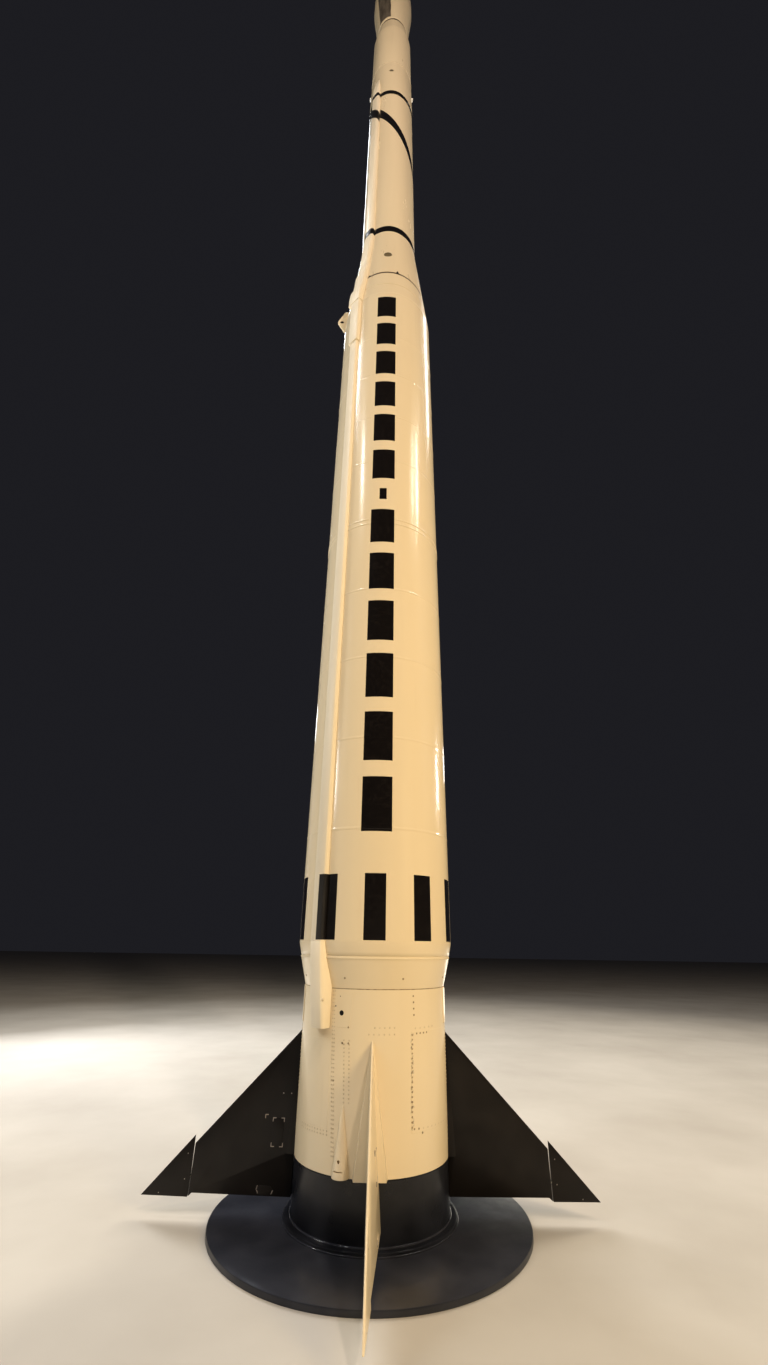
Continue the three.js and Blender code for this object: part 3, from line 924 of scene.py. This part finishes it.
covers = {
    "tunnelFoot": [
        (1.078, -0.052, 0.064, 0.574, 0.014, 0.022),
        (1.33, -0.052, 0.068, 0.604, 0.014, 0.028),
        (1.47, -0.062, 0.052, 0.607, 0.012, 0.028),
        (1.59, -0.070, 0.046, 0.607, 0.012, 0.028),
    ],
    "firstStageTunnel": [
        (1.59, -0.070, 0.046, 0.607, 0.012, 0.028),
        (8.24, -0.070, 0.046, 0.607, 0.012, 0.028),
    ],
    "tunnelHead": [
        (8.24, -0.086, 0.060, 0.622, 0.012, 0.020),
        (9.06, -0.086, 0.066, 0.622, 0.012, 0.020),
    ],
    "interstageBump": [
        (9.06, -0.126, 0.072, 0.630, 0.016, 0.022),
        (9.20, -0.126, 0.078, 0.626, 0.018, 0.022),
        (9.34, -0.120, 0.082, 0.616, 0.020, 0.024),
        (9.42, -0.098, 0.084, 0.594, 0.022, 0.024),
        (9.72, -0.090, 0.094, 0.572, 0.024, 0.026),
        (9.90, -0.072, 0.088, 0.538, 0.026, 0.026),
        (10.04, -0.072, 0.084, 0.526, 0.026, 0.026),
    ],
    "interstageTunnel": [
        (10.04, -0.072, 0.084, 0.526, 0.026, 0.026),
        (10.30, -0.080, 0.080, 0.506, 0.034, 0.028),
        (10.60, -0.088, 0.077, 0.480, 0.037, 0.028),
        (10.92, -0.084, 0.074, 0.452, 0.040, 0.028),
    ],
    "secondStageTunnel": [
        (10.92, -0.084, 0.074, 0.452, 0.040, 0.028),
        (15.77, -0.084, 0.082, 0.456, 0.044, 0.032),
    ],
    "adapterTunnel": [
        (15.77, -0.092, 0.080, 0.458, 0.042, 0.030),
        (15.85, -0.088, 0.080, 0.457, 0.042, 0.030),
        (16.20, -0.080, 0.074, 0.446, 0.040, 0.026),
        (16.56, -0.050, 0.050, 0.409, 0.024, 0.010),
    ],
}
coverPaint = {"firstStageTunnel": firstCoverPaintedLight, "secondStageTunnel": secondCoverPaintedLight, "adapterTunnel": secondCoverPaintedLight}
coverShape = {"swell": 0.8, "cornerSteps": 5, "buried": 0.007, "edge": 0.0015}
coverSides = {"Left": -41.25, "Right": 138.75}


def coverRing(section):
    height, left, right, face, across, deep = section
    swell, steps = coverShape["swell"], coverShape["cornerSteps"]
    corner = []
    for step in range(steps + 1):
        share = step / steps
        turn = share * 90.0 * degree
        corner.append((
            across * ((1 - swell) * share + swell * (1 - math.cos(turn))),
            face - deep + deep * ((1 - swell) * share + swell * math.sin(turn)),
        ))
    radius = skinRadius(height)
    ring = [(left, math.sqrt(radius ** 2 - left ** 2) - coverShape["buried"])]
    ring += [(left + inset, out) for inset, out in corner]
    ring += [(right - inset, out) for inset, out in reversed(corner)]
    ring += [(right, math.sqrt(radius ** 2 - right ** 2) - coverShape["buried"])]
    return [(x, -out, height) for x, out in ring]


def makeCovers():
    for name, sections in covers.items():
        cover = loftRings(name + "Left", [coverRing(section) for section in sections])
        softenEdges(cover, coverShape["edge"], 2, 40.0)
        other = copyPiece(cover, name + "Right")
        for piece, side in ((cover, "Left"), (other, "Right")):
            material, node = coverPaint.get(name, plainCoverPaintedLight), nodeName(name + side)
            finishPiece(piece, material, replaced=(node,), azimuth=coverSides[side])


makeCovers()
print("covers ready")


# Small fittings on the covers' feet, the pointed fairings and the hoisting lug

fittings = {
    "bossSpot": (0.062, -0.576, 1.243),
    "bossRadius": 0.012,
    "bossRise": 0.010,
    "spurAzimuth": -20.0,
    "spurSections": [(0.346, 0.054, 0.556), (0.352, 0.0545, 0.5565), (0.664, 0.010, 0.5185)]
    + [(0.684, 0.004, 0.510)],
    "spurHole": (0.0, 0.426, 0.0085),
    "spurSlot": (0.381, 0.028, 0.0032),
}


def domeHead(name, radius, rise, sides=10):
    # a low dome on a local Z axis, with its root a little below its seat
    turns = [index * 2 * math.pi / sides for index in range(sides)]
    rings = []
    for size, level in ((1.0, -0.3), (1.0, 0.25), (0.8, 0.75), (0.42, 1.0)):
        reach = radius * size
        rings.append([(reach * math.cos(turn), reach * math.sin(turn), rise * level) for turn in turns])
    return loftRings(name, rings)


def makeFittings():
    for side, azimuth in coverSides.items():
        boss = domeHead("tunnelFootBoss" + side, fittings["bossRadius"], fittings["bossRise"], 20)
        place = Matrix.Translation(fittings["bossSpot"])
        boss.data.transform(place @ Matrix.Rotation(90.0 * degree, 4, "X"))
        finishPiece(boss, creamPaint, azimuth=azimuth)
    root = baseRadius - 0.008
    rings = []
    for height, half, outer in fittings["spurSections"]:
        ring = []
        for step in range(17):
            turn = step / 16 * math.pi
            ring.append((-half * math.cos(turn), -root - (outer - root) * math.sin(turn) ** 0.85, height))
        rings.append(ring)
    spur = loftRings("pointedFairing", rings)
    across, height, radius = fittings["spurHole"]
    hole = addRod("fairingHoleCutter", 0.0, height, 0.50, 0.58, radius, 24)
    joinOrCut(spur, hole, "DIFFERENCE")
    height, half, tall = fittings["spurSlot"]
    bpy.ops.mesh.primitive_cube_add(size=1.0)
    slot = nameAdded("fairingSlotCutter")
    size = Matrix.Diagonal((half * 2, 0.05, tall * 2, 1.0))
    slot.data.transform(Matrix.Translation((0, -0.565, height)) @ size)
    joinOrCut(spur, slot, "DIFFERENCE")
    finishPiece(spur, creamPaint, replaced=("pointed_fairing",), azimuth=fittings["spurAzimuth"])


lug = {
    "thickness": 0.024,
    "eye": (0.628, 9.382, 0.020),
    "outline": [(0.520, 9.175), (0.592, 9.175), (0.676, 9.352), (0.684, 9.375), (0.684, 9.402)]
    + [(0.674, 9.430), (0.588, 9.618), (0.520, 9.618)],
    "bushingWall": 0.004,
    "bushingLip": 0.005,
}


def makeLug():
    half = lug["thickness"] / 2
    rings = [[(side * half, -radius, height) for radius, height in lug["outline"]] for side in (-1.0, 1.0)]
    plate = loftRings("hoistLug", rings)
    softenEdges(plate, 0.003, 2)
    radius, height, bore = lug["eye"]
    crosswise = Matrix.Translation((0, -radius, height)) @ Matrix.Rotation(90.0 * degree, 4, "Y")
    bpy.ops.mesh.primitive_cylinder_add(vertices=48, radius=bore, depth=half * 6)
    rod = nameAdded("lugBore")
    rod.data.transform(crosswise)
    joinOrCut(plate, rod, "DIFFERENCE")
    finishPiece(plate, creamPaint, replaced=("hoist_lug",), azimuth=270.0)
    # a black bushing in the bore with a lip on both faces: partly a soiled bushing, partly painted shade of
    # the dark bore
    inner, outer, reach = bore - lug["bushingWall"], bore + lug["bushingLip"], half + 0.0008
    seat, wall = half - 0.001, bore + 0.0006
    outline = [(inner, -reach), (outer, -reach), (outer, -seat), (wall, -seat), (wall, seat), (outer, seat)]
    outline += [(outer, reach), (inner, reach), (inner, -reach)]
    bushing = spinProfile("lugBushing", outline, 48)
    bushing.data.transform(crosswise)
    finishPiece(bushing, recessShadeBlack, azimuth=270.0)


makeFittings()
makeLug()
print("fittings ready")


# Rivets, screws and access panels. Lines run from (azimuth, height) to (azimuth, height) with a pitch

baseDetails = {
    "rivetRadius": 0.0052,
    "rivetRise": 0.0013,
    "rivetLines": [
        (1.5, 1.093, 16.0, 1.093, 0.035),
        (-2.7, 1.057, 16.0, 1.057, 0.036),
        (33.1, 1.085, 51.0, 1.088, 0.036),
        (-31.8, 1.289, -29.8, 0.804, 0.022),
        (-29.8, 0.804, -27.3, 0.437, 0.022),
        (-30.3, 1.289, -28.3, 0.804, 0.022),
        (-28.3, 0.804, -25.9, 0.437, 0.022),
        (-21.0, 1.02, -19.6, 0.70, 0.022),
        (-17.0, 1.02, -15.9, 0.70, 0.022),
        (-60.0, 0.549, -32.0, 0.549, 0.026),
        (-60.0, 0.531, -32.0, 0.531, 0.026),
        (35.1, 0.564, 74.0, 0.556, 0.040),
        (-78.0, 0.44, -78.0, 1.06, 0.022),
        (-84.5, 0.44, -84.5, 1.27, 0.022),
        (79.0, 0.44, 79.0, 1.06, 0.022),
        (85.0, 0.44, 85.0, 1.06, 0.022),
    ],
    "screwRadius": 0.0056,
    "screwRise": 0.0016,
    "screwLines": [
        (30.15, 1.049, 29.56, 0.575, 0.0255),
        (31.3, 1.267, 31.8, 1.16, 0.036),
        (34.1, 1.056, 44.0, 1.057, 0.030),
        (31.4, 0.566, 35.2, 0.564, 0.033),
        (-18.0, 1.091, -17.6, 1.005, 0.086),
        (-22.3, 1.004, -22.3, 1.004, 0.05),
        (38.5, 0.541, 38.5, 0.541, 0.05),
    ],
    "panels": {
        "accessPanelRight": [(0.545, 29.3, 74.0), (1.068, 29.3, 74.0)],
        "accessPanelUpper": [(1.088, -33.0, -17.3), (1.15, -33.0, -16.4), (1.21, -33.0, -15.8)]
        + [(1.285, -33.0, -14.9)],
        "accessPanelLeft": [(0.56, -61.0, -31.6), (1.02, -61.0, -31.6)],
        "sideDoubler": [(1.085, 73.0, 104.0), (1.302, 73.0, 104.0)],
    },
    "panelRise": {
        "accessPanelRight": 0.0012,
        "accessPanelUpper": 0.0014,
        "accessPanelLeft": 0.001,
        "sideDoubler": 0.0055,
    },
    "holes": [(-23.8, 1.168, 0.0150), (-29.0, 1.205, 0.004), (-25.4, 1.262, 0.003)],
    "holeSize": 0.01,
    "holeSeat": 0.0014,
}


def alongLine(line, radius):
    startAzimuth, startHeight, endAzimuth, endHeight, pitch = line
    length = math.hypot((endAzimuth - startAzimuth) * degree * radius, endHeight - startHeight)
    count = max(1, round(length / pitch))
    for step in range(count + 1):
        share = step / count
        azimuth = startAzimuth + (endAzimuth - startAzimuth) * share
        yield azimuth, startHeight + (endHeight - startHeight) * share


def makeBaseDetails():
    d = baseDetails
    for name, spans in d["panels"].items():
        for suffix, turn in (("Front", 0.0), ("Rear", 180.0)):
            patch = skinPatch(name + suffix, spans, lambda height: baseRadius, d["panelRise"][name], 16)
            finishPiece(patch, basePaint, azimuth=turn)
    heads = (
        ("baseRivets", d["rivetLines"], d["rivetRadius"], d["rivetRise"], soiledPaint, whiteSlot, 0.0005),
        ("panelScrews", d["screwLines"], d["screwRadius"], d["screwRise"], screwDirtAndJointShade, greySlot, 0.0012),
    )
    for name, lines, radius, rise, material, slotName, seat in heads:
        places = []
        for line in lines:
            for azimuth, height in alongLine(line, baseRadius):
                places += frontAndRear(azimuth, height, baseRadius + seat)
        piece = copyMany(name, domeHead(name + "Head", radius, rise), places)
        finishPiece(piece, material, angle=50.0)
    # the holes are low black domes, painted shade that stands for their dark insides
    places = []
    for azimuth, height, radius in d["holes"]:
        grown = radius / d["holeSize"]
        for spot in frontAndRear(azimuth, height, baseRadius + d["holeSeat"]):
            places.append(spot @ Matrix.Diagonal((grown, grown, 1.0, 1.0)))
    hole = domeHead("panelHole", d["holeSize"], 0.0012, 20)
    finishPiece(copyMany("panelHoles", hole, places), recessShadeBlack)


hullDetails = {
    "coneBolts": {"first": 22.0, "pitch": 45.0, "oddShift": 1.4, "height": 1.369, "radius": 0.0065},
    "splitMarks": [(-27.5, 0.032, 0.048), (15.0, 0.052, 0.072)],
    "markSize": 0.02,
}


def makeHullDetails():
    bolts = hullDetails["coneBolts"]
    places = []
    for index in range(round(360.0 / bolts["pitch"])):
        azimuth = bolts["first"] + index * bolts["pitch"] + (bolts["oddShift"] if index % 2 else 0.0)
        places.append(outwardAt(azimuth, bolts["height"], skinRadius(bolts["height"])))
    bolt = domeHead("coneBolt", bolts["radius"], 0.003, 12)
    finishPiece(copyMany("coneBolts", bolt, places), screwDirtAndJointShade)
    places = []
    size = hullDetails["markSize"]
    for azimuth, wide, tall in hullDetails["splitMarks"]:
        height = splitHeight + tall / 4
        for spot in frontAndRear(azimuth, height, skinRadius(height)):
            places.append(spot @ Matrix.Diagonal((wide / size, tall / size, 1.0, 1.0)))
    # three-sided recess covers, point upwards, drawn as low black domes: painted shade for the recesses
    latch = domeHead("splitLatch", 0.0125, 0.0025, 3)
    latch.data.transform(Matrix.Rotation(90.0 * degree, 4, "Z"))
    finishPiece(copyMany("splitLatches", latch, places), recessShadeBlack)


makeBaseDetails()
makeHullDetails()
print("base details ready")


# Fins and their turning tips. All are modelled at the front and turned to their places

finShape = {
    "rootRadius": 0.5084,
    "rootTop": 1.021,
    "tipRadius": 1.170,
    "tipTop": 0.369,
    "bottom": 0.123,
    "toe": 0.106,
    "toeLength": 0.020,
    "edgeHalf": 0.005,
    "leftSlope": 0.018,
    "rightSlope": 0.069,
    "edgeRound": 0.0028,
}
fairing = {
    "half": 0.104,
    "chamfer": 0.008,
    "depth": 0.040,
    "top": 1.012,
    "topHalf": 0.007,
    "topDepth": 0.004,
    "buried": 0.012,
}
fillet = {"half": 0.046, "low": 0.038, "high": 0.046, "top": 0.985, "topHalf": 0.007, "topDepth": 0.007}
tipShape = {
    "inner": 1.176,
    "outer": 1.481,
    "top": 0.412,
    "bottom": 0.103,
    "shaftRadius": 0.008,
    "shaftHeight": 0.200,
}
finFittings = {
    "cover": (0.6245, 0.441, 0.037, 0.073, 0.012),
    "coverRise": 0.0016,
    "roundCover": (0.679, 0.150, 0.050),
    "screwRadius": 0.0040,
    "screwRise": 0.0016,
    "screwRow": [(0.607, 0.650), (0.552, 0.649)],
    "bracket": (0.022, 0.0055, 0.0044),
    "bracketInset": 0.009,
    "lateBracket": (0.716, 0.531),
    "footBrackets": [(-0.98, -0.35, 60.0), (0.90, -0.40, 120.0), (1.02, 0.55, 70.0)],
    "tipScrews": [(1.208, 0.189), (1.366, 0.118), (1.209, 0.316)],
}


def edgeHeight(radius, nearRadius, nearTop, farRadius, farTop):
    return nearTop + (farTop - nearTop) * (radius - nearRadius) / (farRadius - nearRadius)


def finEdge(radius):
    s = finShape
    return edgeHeight(radius, s["rootRadius"], s["rootTop"], s["tipRadius"], s["tipTop"])


def tipEdge(radius):
    s = tipShape
    return edgeHeight(radius, s["inner"], s["top"], s["outer"], s["bottom"])


def onFace(side, radius, height, edge, lift=0.0):
    # a point on the left (-1) or right (1) face of the wedge, lifted off it
    slope = finShape["leftSlope"] if side < 0 else finShape["rightSlope"]
    half = finShape["edgeHalf"] + slope * (edge(radius) - height)
    return Vector((side * (half + lift), -radius, height))


def wedgePlate(name, corners, edge):
    rings = [[onFace(side, radius, height, edge) for radius, height in corners] for side in (-1.0, 1.0)]
    return loftRings(name, rings)


def flankRings(points, low, high):
    rings = []
    for height, halves in ((low, points[0]), (high, points[1])):
        left = [(-half, -baseRadius - out, height) for half, out in halves]
        rings.append(left + [(-x, y, z) for x, y, z in reversed(left)])
    return rings


def makeFinPlate(name):
    s = finShape
    corners = [(s["rootRadius"], s["rootTop"]), (s["tipRadius"], s["tipTop"]), (s["tipRadius"], s["toe"])]
    corners += [(s["tipRadius"] - s["toeLength"], s["bottom"]), (s["rootRadius"], s["bottom"])]
    plate = wedgePlate(name, corners, finEdge)
    f, root = fairing, -fairing["buried"]
    low = [(f["half"], root), (f["half"] - f["chamfer"], f["depth"])]
    high = [(f["topHalf"], root), (f["topHalf"] - 0.001, f["topDepth"])]
    flank = loftRings(name + "Flank", flankRings((low, high), baseLow, f["top"]))
    joinOrCut(plate, flank, "UNION")
    f = fillet
    low = [(f["half"], root), (f["half"] - 0.001, f["low"]), (s["edgeHalf"], f["high"])]
    high = [(f["topHalf"], root), (f["topHalf"] - 0.001, f["topDepth"] - 0.001)]
    high.append((s["edgeHalf"], f["topDepth"]))
    ridge = loftRings(name + "Ridge", flankRings((low, high), baseLow, f["top"]))
    joinOrCut(plate, ridge, "UNION")
    softenEdges(plate, s["edgeRound"], 2, 28.0)
    return plate


def roundedOutline(middleRadius, middleHeight, halfWide, halfTall, corner, steps=5):
    points = []
    for cornerIndex, (signWide, signTall) in enumerate(((1, 1), (-1, 1), (-1, -1), (1, -1))):
        for step in range(steps + 1):
            turn = (cornerIndex * 90.0 + step / steps * 90.0) * degree
            wide = signWide * (halfWide - corner) + corner * math.cos(turn)
            tall = signTall * (halfTall - corner) + corner * math.sin(turn)
            points.append((middleRadius + wide, middleHeight + tall))
    return points


def facePlate(name, side, outline, middle, edge, rise):
    rings = []
    for lift, share in ((-0.001, 1.0), (rise * 0.6, 1.0), (rise, 0.975)):
        ring = []
        for radius, height in outline:
            r = middle[0] + (radius - middle[0]) * share
            z = middle[1] + (height - middle[1]) * share
            ring.append(onFace(side, r, z, edge, lift))
        rings.append(ring)
    return loftRings(name, rings)


def onFacePlace(side, radius, height, edge, lift):
    spot = onFace(side, radius, height, edge, lift)
    return Matrix.Translation(spot) @ Matrix.Rotation(side * 90.0 * degree, 4, "Y")


def makeFin(side, azimuth, material):
    label = side.capitalize()
    plate = makeFinPlate("fin" + label)
    finishPiece(plate, material, replaced=("fin_" + side,), azimuth=azimuth, angle=40.0)
    f = finFittings
    radius, height, halfWide, halfTall, corner = f["cover"]
    outline = roundedOutline(radius, height, halfWide, halfTall, corner)
    cover = facePlate("finCover" + label, 1.0, outline, (radius, height), finEdge, f["coverRise"])
    finishPiece(cover, material, azimuth=azimuth)
    middle, low, reach = f["roundCover"]
    outline = roundedOutline(middle, low, reach, 0.022, 0.021, 8)
    cover = facePlate("finFootCover" + label, 1.0, outline, (middle, low), finEdge, f["coverRise"])
    finishPiece(cover, material, azimuth=azimuth)
    # light grey bars at the covers' corners, partly worn paint and partly a painted glint: two bars to a
    # corner, and slanted bars round the foot cover
    bars, inset = [], f["bracketInset"]
    for a, b in ((-1, 1), (1, 1), (-1, -1), (1, -1)):
        upright = 88.0 if b > 0 else 90.0
        bars.append((radius + a * (halfWide + 0.001), height + b * (halfTall - 0.008), upright))
        bars.append((radius + a * (halfWide - inset), height + b * (halfTall + 0.001), 0.0))
    lateRadius, lateHeight = f["lateBracket"]
    bars += [(lateRadius, lateHeight - inset, 90.0), (lateRadius - inset, lateHeight, 0.0)]
    bars += [(middle + reach * a, low + 0.022 * b, turn) for a, b, turn in f["footBrackets"]]
    places = []
    for r, z, turn in bars:
        slanted = Matrix.Rotation((turn + 90.0) * degree, 4, "Z")
        places.append(onFacePlace(1.0, r, z, finEdge, 0.0) @ slanted)
    bpy.ops.mesh.primitive_cube_add(size=1.0)
    bar = nameAdded("finBracket")
    bar.data.transform(Matrix.Diagonal((*f["bracket"], 1.0)))
    softenEdges(bar, 0.0008, 1)
    finishPiece(copyMany("finBrackets" + label, bar, places), finWearAndGlint, azimuth=azimuth)
    places = [onFacePlace(1.0, r, z, finEdge, 0.0) for r, z in f["screwRow"]]
    screws = copyMany("finScrews" + label, domeHead("finScrew", f["screwRadius"], f["screwRise"], 12), places)
    finishPiece(screws, screwSteel, azimuth=azimuth, angle=50.0)


def makeTip(side, azimuth, material):
    s = tipShape
    label = side.capitalize()
    mover = "control_" + side
    corners = [(s["inner"], s["top"]), (s["outer"], s["bottom"]), (s["inner"], s["bottom"])]
    plate = wedgePlate("tipControl" + label, corners, tipEdge)
    softenEdges(plate, finShape["edgeRound"] * 0.8, 2)
    node = "tip_" + mover
    finishPiece(plate, material, mover, replaced=(node,), azimuth=azimuth, angle=40.0)
    start, end = s["inner"] - 0.05, s["inner"] + 0.01
    shaft = addRod("tipShaft" + label, 0.0, s["shaftHeight"], start, end, s["shaftRadius"], 32)
    softenEdges(shaft, 0.0008, 1)
    finishPiece(shaft, screwSteel, mover, azimuth=azimuth)
    places = []
    for face in (-1.0, 1.0):
        for radius, height in finFittings["tipScrews"]:
            places.append(onFacePlace(face, radius, height, tipEdge, 0.0))
    radius, rise = finFittings["screwRadius"] * 0.8, finFittings["screwRise"]
    screws = copyMany("tipScrews" + label, domeHead("tipScrew", radius, rise, 12), places)
    finishPiece(screws, screwSteel, mover, azimuth=azimuth, angle=50.0)


for side, azimuth in (("front", 0.0), ("right", 90.0), ("rear", 180.0), ("left", 270.0)):
    isBlack = side in ("right", "left")
    finPaint, finSlot = (finBlack, blackSlot) if isBlack else (finWhite, whiteSlot)
    makeFin(side, azimuth, finPaint)
    makeTip(side, azimuth, finPaint)
print("fins ready")

# The heavy block inside the closed nose keeps its CAD form
heavyBlock = bpy.data.objects["fourth_stage_motor"]
for slotIndex in range(len(heavyBlock.material_slots)):
    heavyBlock.material_slots[slotIndex].material = shieldPanel
print("pieces ready")


# Floor, light and camera

studio = {
    "floorSize": 160.0,
    "backdrop": rgb(0.012, 0.012, 0.015),
    "fill": 1.0,
}


def makeFloor():
    bpy.ops.mesh.primitive_plane_add(size=studio["floorSize"])
    floor = nameAdded("studioFloor")
    material, tree, coords = startMaterial("paleFloor")
    tone = span(tree, cloud(tree, coords, 0.7, 5.0), 0.3, 0.7)
    colour = blend(tree, tone, paint["floor"], paint["floorShade"])
    rough = span(tree, cloud(tree, coords, 1.3, 4.0), 0.3, 0.7, 0.32, 0.5)
    endMaterial(tree, {"Base Color": colour, "Roughness": rough, "Specular IOR Level": 0.0})
    floor.data.materials.append(material)
    deselectAll()


# Soft boxes: azimuth, distance, height of the middle, width, tallness, height of the aim, power and colour.
# The wide ones light the paint, and the mirrored ones only draw the straight highlights in it
softBoxes = {
    "keyLow": (25.0, 15.0, 16.0, 0.8, 0.8, 1.5, 1390.0, (1.00, 0.83, 0.70)),
    "keySteep": (10.0, 10.0, 20.0, 0.8, 0.8, 1.5, 841.0, (1.00, 0.83, 0.70)),
    "lowRight": (45.0, 9.0, 4.0, 2.0, 3.0, 1.5, 448.0, (1.00, 0.77, 0.40)),
    "lowRear": (-135.0, 9.0, 4.0, 2.0, 3.0, 1.5, 500.0, (0.93, 0.94, 1.00)),
    "middleLeft": (-60.0, 11.0, 9.0, 2.0, 5.0, 6.0, 434.0, (0.92, 0.98, 1.00)),
    "sideLeft": (-95.0, 10.0, 9.0, 2.0, 8.0, 8.0, 560.0, (1.00, 0.95, 0.92)),
    "sideRight": (85.0, 10.0, 9.0, 2.0, 8.0, 8.0, 170.0, (0.90, 0.92, 1.00)),
    "highFront": (8.0, 10.0, 23.0, 3.0, 4.0, 18.0, 70.0, (1.00, 0.88, 0.70)),
    "highLeft": (-65.0, 9.0, 22.0, 3.0, 4.0, 17.0, 150.0, (1.00, 0.86, 0.62)),
    "rearLeft": (-150.0, 11.0, 12.0, 3.0, 8.0, 8.0, 1500.0, (0.95, 0.97, 1.00)),
    "rearRight": (140.0, 11.0, 12.0, 3.0, 8.0, 8.0, 1500.0, (1.00, 0.92, 0.80)),
}
mirroredBoxes = {
    "streakUpperLeft": (-70.0, 9.0, 20.4, 0.16, 3.2, 8.0, 140.0, (0.95, 0.97, 1.0)),
    "streakMiddleLeft": (-47.0, 9.0, 15.2, 0.12, 1.9, 6.0, 110.0, (1.0, 0.98, 0.92)),
    "streakLowLeft": (-74.0, 9.0, 5.2, 0.14, 1.2, 2.8, 110.0, (1.0, 0.98, 0.95)),
    "streakRightInner": (64.0, 9.0, 14.8, 0.08, 2.4, 6.0, 70.0, (1.0, 0.93, 0.75)),
    "streakRightOuter": (76.0, 9.0, 14.8, 0.10, 2.6, 6.0, 110.0, (1.0, 0.95, 0.80)),
    "streakLowRight": (116.0, 9.0, 5.2, 0.18, 1.3, 2.8, 60.0, (1.0, 0.98, 0.95)),
    "edgeRight": (124.0, 9.0, 21.0, 1.1, 5.0, 8.0, 150.0, (1.0, 0.98, 0.95)),
    "edgeLeft": (-158.0, 8.0, 28.0, 1.2, 7.5, 10.0, 400.0, (0.86, 0.93, 1.0)),
    "edgeLowLeft": (-155.0, 8.0, 6.4, 0.5, 0.8, 4.0, 12.0, (0.86, 0.93, 1.0)),
    "edgeLowRight": (155.0, 8.0, 5.4, 0.5, 0.8, 4.0, 12.0, (0.95, 0.97, 1.0)),
    "edgeFootRight": (155.0, 8.0, 0.6, 3.4, 0.5, 1.2, 16.0, (1.0, 0.95, 0.80)),
}


def addSoftBox(name, azimuth, distance, height, width, tall, aimHeight, power, colour, mirrored):
    light = bpy.data.lights.new(name, "AREA")
    light.shape = "RECTANGLE"
    light.size = width
    light.size_y = tall
    light.energy = power
    light.color = colour
    holder = bpy.data.objects.new(name, light)
    bpy.context.scene.collection.objects.link(holder)
    turn = azimuth * degree
    holder.location = (distance * math.sin(turn), -distance * math.cos(turn), height)
    towards = Vector((0.0, 0.0, aimHeight)) - holder.location
    holder.rotation_euler = towards.to_track_quat("-Z", "Y").to_euler()
    holder.visible_camera = False
    holder.visible_glossy = mirrored
    holder.visible_diffuse = not mirrored


def lightStudio():
    bpy.context.scene.view_settings.view_transform = "Standard"
    world = bpy.data.worlds.new("studioWorld")
    bpy.context.scene.world = world
    world.use_nodes = True
    world.node_tree.nodes["Background"].inputs[0].default_value = studio["backdrop"]
    world.node_tree.nodes["Background"].inputs[1].default_value = studio["fill"]
    for boxes, mirrored in ((softBoxes, False), (mirroredBoxes, True)):
        for name, values in boxes.items():
            addSoftBox(name, *values, mirrored)


# The camera stands at eye height in front of the rocket and looks up
view = {
    "spot": (0.0542, -4.5648, 1.5741),
    "pitch": 25.9676,
    "roll": 0.8906,
    "yaw": -0.2357,
    "focal": 537.5153,
    "picture": (768, 1365),
    "sensor": 36.0,
}


def makeCamera():
    pitch, roll, yaw = (view[key] * degree for key in ("pitch", "roll", "yaw"))
    ahead = Vector((math.sin(yaw) * math.cos(pitch), math.cos(yaw) * math.cos(pitch), math.sin(pitch)))
    level = Vector((math.cos(yaw), -math.sin(yaw), 0.0))
    upright = level.cross(ahead)
    right = level * math.cos(roll) + upright * math.sin(roll)
    top = upright * math.cos(roll) - level * math.sin(roll)
    turned = Matrix((right, top, -ahead)).transposed()
    lens = bpy.data.cameras.new("photoCamera")
    lens.sensor_width = view["sensor"]
    lens.lens = view["focal"] * view["sensor"] / view["picture"][1]
    lens.clip_end = 300.0
    camera = bpy.data.objects.new("photoCamera", lens)
    camera.matrix_world = Matrix.Translation(view["spot"]) @ turned.to_4x4()
    bpy.context.scene.collection.objects.link(camera)
    bpy.context.scene.camera = camera


makeFloor()
lightStudio()
makeCamera()
print("studio ready")
